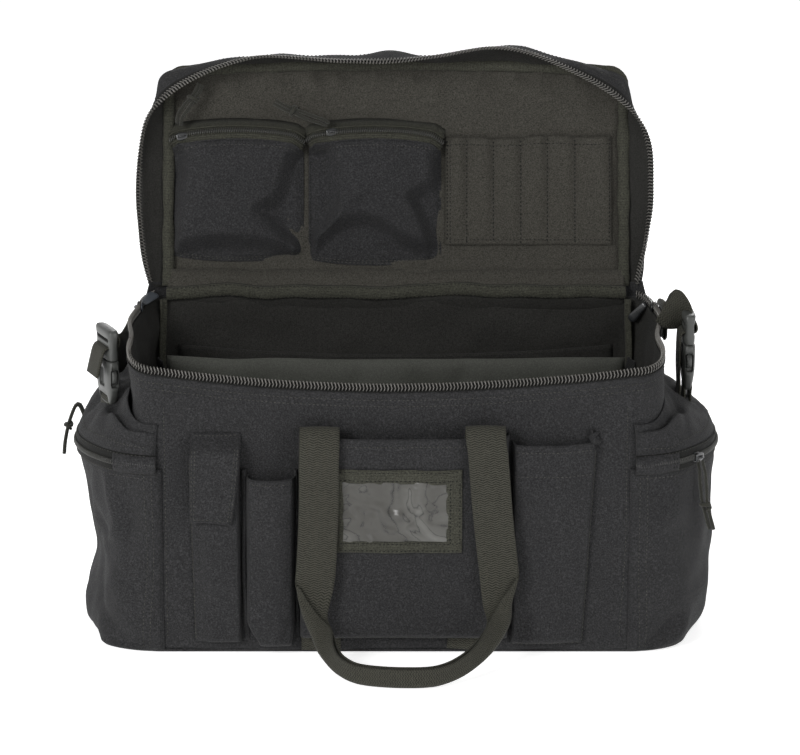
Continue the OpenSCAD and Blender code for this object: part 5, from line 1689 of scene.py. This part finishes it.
for sign, side in ((-1, "left"), (1, "right")):
    body = f"{side}_main_slider"
    at = (sign * RIM_HALF, 80.0)
    top = float(rim_height(np.array(at[0]), np.array(at[1])))
    out_by = float(wall_shift(np.array(at[0]), np.array(at[1]), np.array(top)))
    spot = np.array([sign * (RIM_HALF - 1.2 + out_by), 80.0, top + 4.5])
    cast(f"{body}_body", slider_parts(15, 11, 4.2), axes(spot, (0, -1, -0.065), (sign, 0, 0)), body,
         kind="slider_grey" if sign < 0 else "slider_metal", replaced=(body,))
    # The pull tab lies over the rim towards the hinge.
    width = 1.35 if sign < 0 else 1.0
    rows, faces = loft([(0, 0, 0, 2.2, 0.8), (0, 0, 3, 3.4 * width, 1.1), (0, 0, 12, 4.0 * width, 1.2),
                        (0, 0, 19, 4.6 * width, 1.3),
                        (0, 0, 23, 4.2 * width, 1.2), (0, 0, 25, 2.2, 0.8)], 24, 3.0)
    aim = unit(np.array([0.47, 0.84, 0.25]) if sign < 0 else np.array([-0.60, 0.28, -0.75]))
    root = spot + (np.array([1.5, 7.0, 1.5]) if sign < 0 else np.array([-7.0, 14.0, 0.0]))
    face = unit(np.cross(np.cross(aim, (0.15 * sign, -0.8, 0.6)), aim))
    hang = axes(root, np.cross(face, aim), face)
    cast(f"{side}_main_pull_tab", [(rows, faces)], hang, body,
         kind="slider_grey" if sign < 0 else "slider_metal")


# ---- shoulder strap and buckles --------------------------------------------------------------

SOCKET = 44.0


def boolean(target, cutter_parts, frame_of):
    """Cuts lofted forms out of a piece."""
    points, faces, start = [], [], 0
    for p, f in cutter_parts:
        points.append(frame_of(np.asarray(p, float)))
        faces += [[i + start for i in face] for face in f]
        start += len(p)
    mesh = bpy.data.meshes.new("cutter")
    mesh.from_pydata((np.vstack(points) * MM).tolist(), [], faces)
    cutter = bpy.data.objects.new("cutter", mesh)
    bpy.context.scene.collection.objects.link(cutter)
    modifier = target.modifiers.new("cut", "BOOLEAN")
    modifier.object, modifier.operation, modifier.solver = cutter, "DIFFERENCE", "EXACT"
    parent = target.parent
    target.parent = None
    bpy.context.view_layer.update()
    shaped = bpy.data.meshes.new_from_object(target.evaluated_get(bpy.context.evaluated_depsgraph_get()))
    target.modifiers.clear()
    target.data = shaped
    target.parent = parent
    bpy.data.objects.remove(cutter)


def buckle(side, centre, turn):
    a = math.radians(turn)
    origin = np.asarray(centre, float)
    wide, thick = np.array([math.cos(a), math.sin(a), 0]), np.array([-math.sin(a), math.cos(a), 0])
    place = lambda p: origin + p[:, :1] * wide + p[:, 1:2] * thick + p[:, 2:3] * np.array([0, 0, 1.0])
    # Socket: waisted shell tapering to its webbing bar, with latch windows in its sides.
    outline = [(-3.0, 10.0, 3.0), (-1.0, 14.5, 3.6), (3.0, 18.0, 4.4), (9.0, 21.0, 5.2), (15.0, 23.2, 5.8),
               (20.0, 24.4, 6.2),
               (28.0, 24.8, 6.4), (36.0, 24.8, 6.4), (42.5, 24.4, 6.3), (SOCKET, 23.4, 5.6)]
    rows, faces = loft([(0, 0, z, w, t) for z, w, t in outline], 44, 4.0)
    socket = cast(f"{side}_buckle_socket_shell", [(rows, faces)], place, "bag", "buckle_plastic",
                  (f"{side}_buckle_socket",))
    cuts = [rounded_block(0, 0, 12, 52, 20.6, 3.9, 1.0), rounded_block(0, 0, 1.8, 9.5, 13.5, 12, 1.5),
            rounded_block(0, -7.5, 17, 36, 8.5, 4.4, 2.0), rounded_block(0, 7.5, 17, 36, 8.5, 4.4, 2.0)]
    for s in (-1, 1):
        cuts.append(rounded_block(s * 26, 0, 18.5, 36.5, 6.5, 4.0, 1.6))
    boolean(socket, cuts, place)
    # Plug: ribbed bar block with slots for the strap, and its middle tongue.
    top = [(SOCKET + 0.7, 22.6, 4.9), (SOCKET + 1.6, 23.6, 5.5), (SOCKET + 8, 23.8, 5.9),
           (SOCKET + 11, 23.8, 5.0),
           (SOCKET + 19, 23.8, 5.0), (SOCKET + 24, 24, 5.8), (SOCKET + 28, 24, 6.2),
           (SOCKET + 30, 23.0, 5.2), (SOCKET + 30.6, 21, 3.6)]
    rows, faces = loft([(0, 0, z, w, t) for z, w, t in top], 44, 4.0)
    tongue = rounded_block(0, 0, 16, SOCKET + 1.5, 4.0, 2.5, 1.0)
    plug = cast(f"{side}_buckle_plug_block", [(rows, faces), tongue], place, "bag", "buckle_plastic",
                (f"{side}_buckle_plug",))
    boolean(plug, [rounded_block(0, 0, SOCKET + 11, SOCKET + 14.6, 19.5, 12, 1.2),
                   rounded_block(0, 0, SOCKET + 19, SOCKET + 22.6, 19.5, 12, 1.2)], place)
    for s, which in ((1, "back"), (-1, "front")):
        line = [(s * 16.5, 47, 3.4), (s * 16.8, 40, 3.0), (s * 18.2, 35.4, 2.8), (s * 20.0, 33.0, 4.2),
                (s * 20.4, 28, 4.6),
                (s * 19.6, 24, 4.0), (s * 17.6, 20.6, 2.2)]
        rows, faces = loft([(x, 0, z, w, 2.9) for x, z, w in line[::-1]], 20, 4.0)
        body = f"{side}_latch_arm_{which}"
        cast(f"{body}_form", [(rows, faces)], place, body, "buckle_plastic", (body,))
    return place


place_right = buckle("right", (286, -4, 238), 90)
place_left = buckle("left", (-280, -36, 229), 112)


def loop_band(name, route, width, body, kind, place, replaced=()):
    path = place(smooth_path(route, 60))
    x_axis = place(np.array([[1.0, 0, 0]])) - place(np.array([[0.0, 0, 0]]))
    return ribbon(name, path, np.repeat(x_axis, 60, axis=0), width, 1.7, body, kind, replaced=replaced)


# Webbing from the pocket's roof, round the socket's bar and back down.
loop_band("right_anchor_webbing",
          [(0, -2.6, -14), (0, -3.0, -4), (0, -3.4, 2), (0, -1.8, 6.2), (0, 0.6, 6.6), (0, 2.8, 3.4),
                                   (0, 3.2, -4), (0, 3.0, -14)], 27, "bag", "webbing", place_right,
          ("strap_anchors",))
loop_band("left_anchor_webbing",
          [(0, -4.0, -12), (0, -4.2, -3), (0, -3.6, 2), (0, -1.8, 6.2), (0, 0.6, 6.6), (0, 2.8, 3.4),
                                  (0, 3.2, -4), (0, 5.0, -13)], 27, "bag", "webbing", place_left)

STRAP_RIGHT = [(266.5, 36, 293), (267.5, 56, 290), (267.5, 82, 286), (267, 108, 280), (267, 140, 261),
               (267, 165, 233),
               (267, 190, 170), (266, 215, 100), (265, 235, 47), (259, 246, 20), (240, 253, 8), (205, 257, 4),
               (140, 259, 3.2), (70, 260, 3), (0, 260, 3)]
# The right end folds over on itself above its buckle: front edge and back edge of the webbing.
RIGHT_FOLD = [((286.5, -22, 297), (286.5, 15, 297)), ((287, -21, 304), (286, 15, 298)),
              ((287.5, -14, 315), (283, 13, 293)),
              ((284, -8, 324), (274, 9, 291)), ((279, -4, 331), (263, 5, 293)),
              ((274, 0, 333), (254.5, 3, 301)),
              ((271, 5, 330), (261, 8, 299)), ((268.5, 13, 325), (265, 14, 291)),
              ((267, 22, 318), (266.5, 22, 281)),
              ((266.5, 36, 312), (266.5, 36, 274))]


STRAP_LEFT = [(273, -34, 276), (271, -22, 274), (269.5, -8, 271), (268.5, 10, 270), (268, 34, 269),
              (267, 70, 268), (265, 104, 256),
              (264, 140, 232), (265, 165, 196), (266, 190, 145), (266, 215, 90), (265, 235, 44),
              (259, 247, 18), (240, 254, 7),
              (205, 258, 4), (140, 260, 3.2), (70, 260, 3)]


def strap_sides(path):
    """Direction of the strap's width: upright beside the bag, flat where it lies on the floor."""
    along = unit(np.gradient(path, axis=0))
    low_share = ease(60, 4, path[:, 2])[:, None]
    upright = np.cross(along, np.array([1.0, 0.0, 0.0]))
    upright = unit(upright * np.where(upright[:, 1:2] + upright[:, 2:] < 0, -1, 1))
    flat = np.tile([0.0, 1.0, 0.0], (len(path), 1))
    return unit(lerp(upright, flat, low_share))


right_route = smooth_path(STRAP_RIGHT, 200)
left_route = smooth_path([(-x, y, z) for x, y, z in STRAP_LEFT], 210)
whole = np.vstack([left_route, right_route[::-1][1:]])
folds_at = 16
sides = strap_sides(whole)
ribbon("shoulder_strap_webbing", whole[folds_at:], sides[folds_at:], WEBBING, 1.8, "shoulder_strap",
       "webbing",
       replaced=("shoulder_strap",), crown=-0.3)
piece = ribbon("strap_fold_left", whole[:folds_at + 1], sides[:folds_at + 1], WEBBING, 1.8, None, "webbing",
               crown=-0.3)
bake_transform(piece.obj)
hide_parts("strap_ends")
dense = smooth_path(np.array([[*front, *back] for front, back in RIGHT_FOLD], float), 70)
t = np.linspace(0, 1, 13)[None, :, None]
piece = cloth("strap_fold_right", lerp(dense[:, None, 3:], dense[:, None, :3], t), None, "webbing", 1.8)
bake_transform(piece.obj)

# The strap's end threaded through each plug, with the loose tail behind.
loop_band("right_strap_end",
          [(0, 0.0, 62), (0, -5.5, 65.5), (0, -7.4, 61), (0, -6.0, 56.6), (0, 0.0, 56.2), (0, 7.2, 55),
                              (0, 8.8, 44), (0, 9.0, 20), (0, 8.0, -2), (0, 9.0, -10)], 35, "bag", "webbing",
          place_right)
loop_band("left_strap_end",
          [(0, 15.5, 28), (0, 12.0, 42), (0, 8.2, 54), (0, 2.6, 57), (0, -4.4, 57), (0, -6.9, 60),
           (0, -7.0, 66),
                             (0, -3.4, 69)], 35, "bag", "webbing", place_left)

make_stitches()
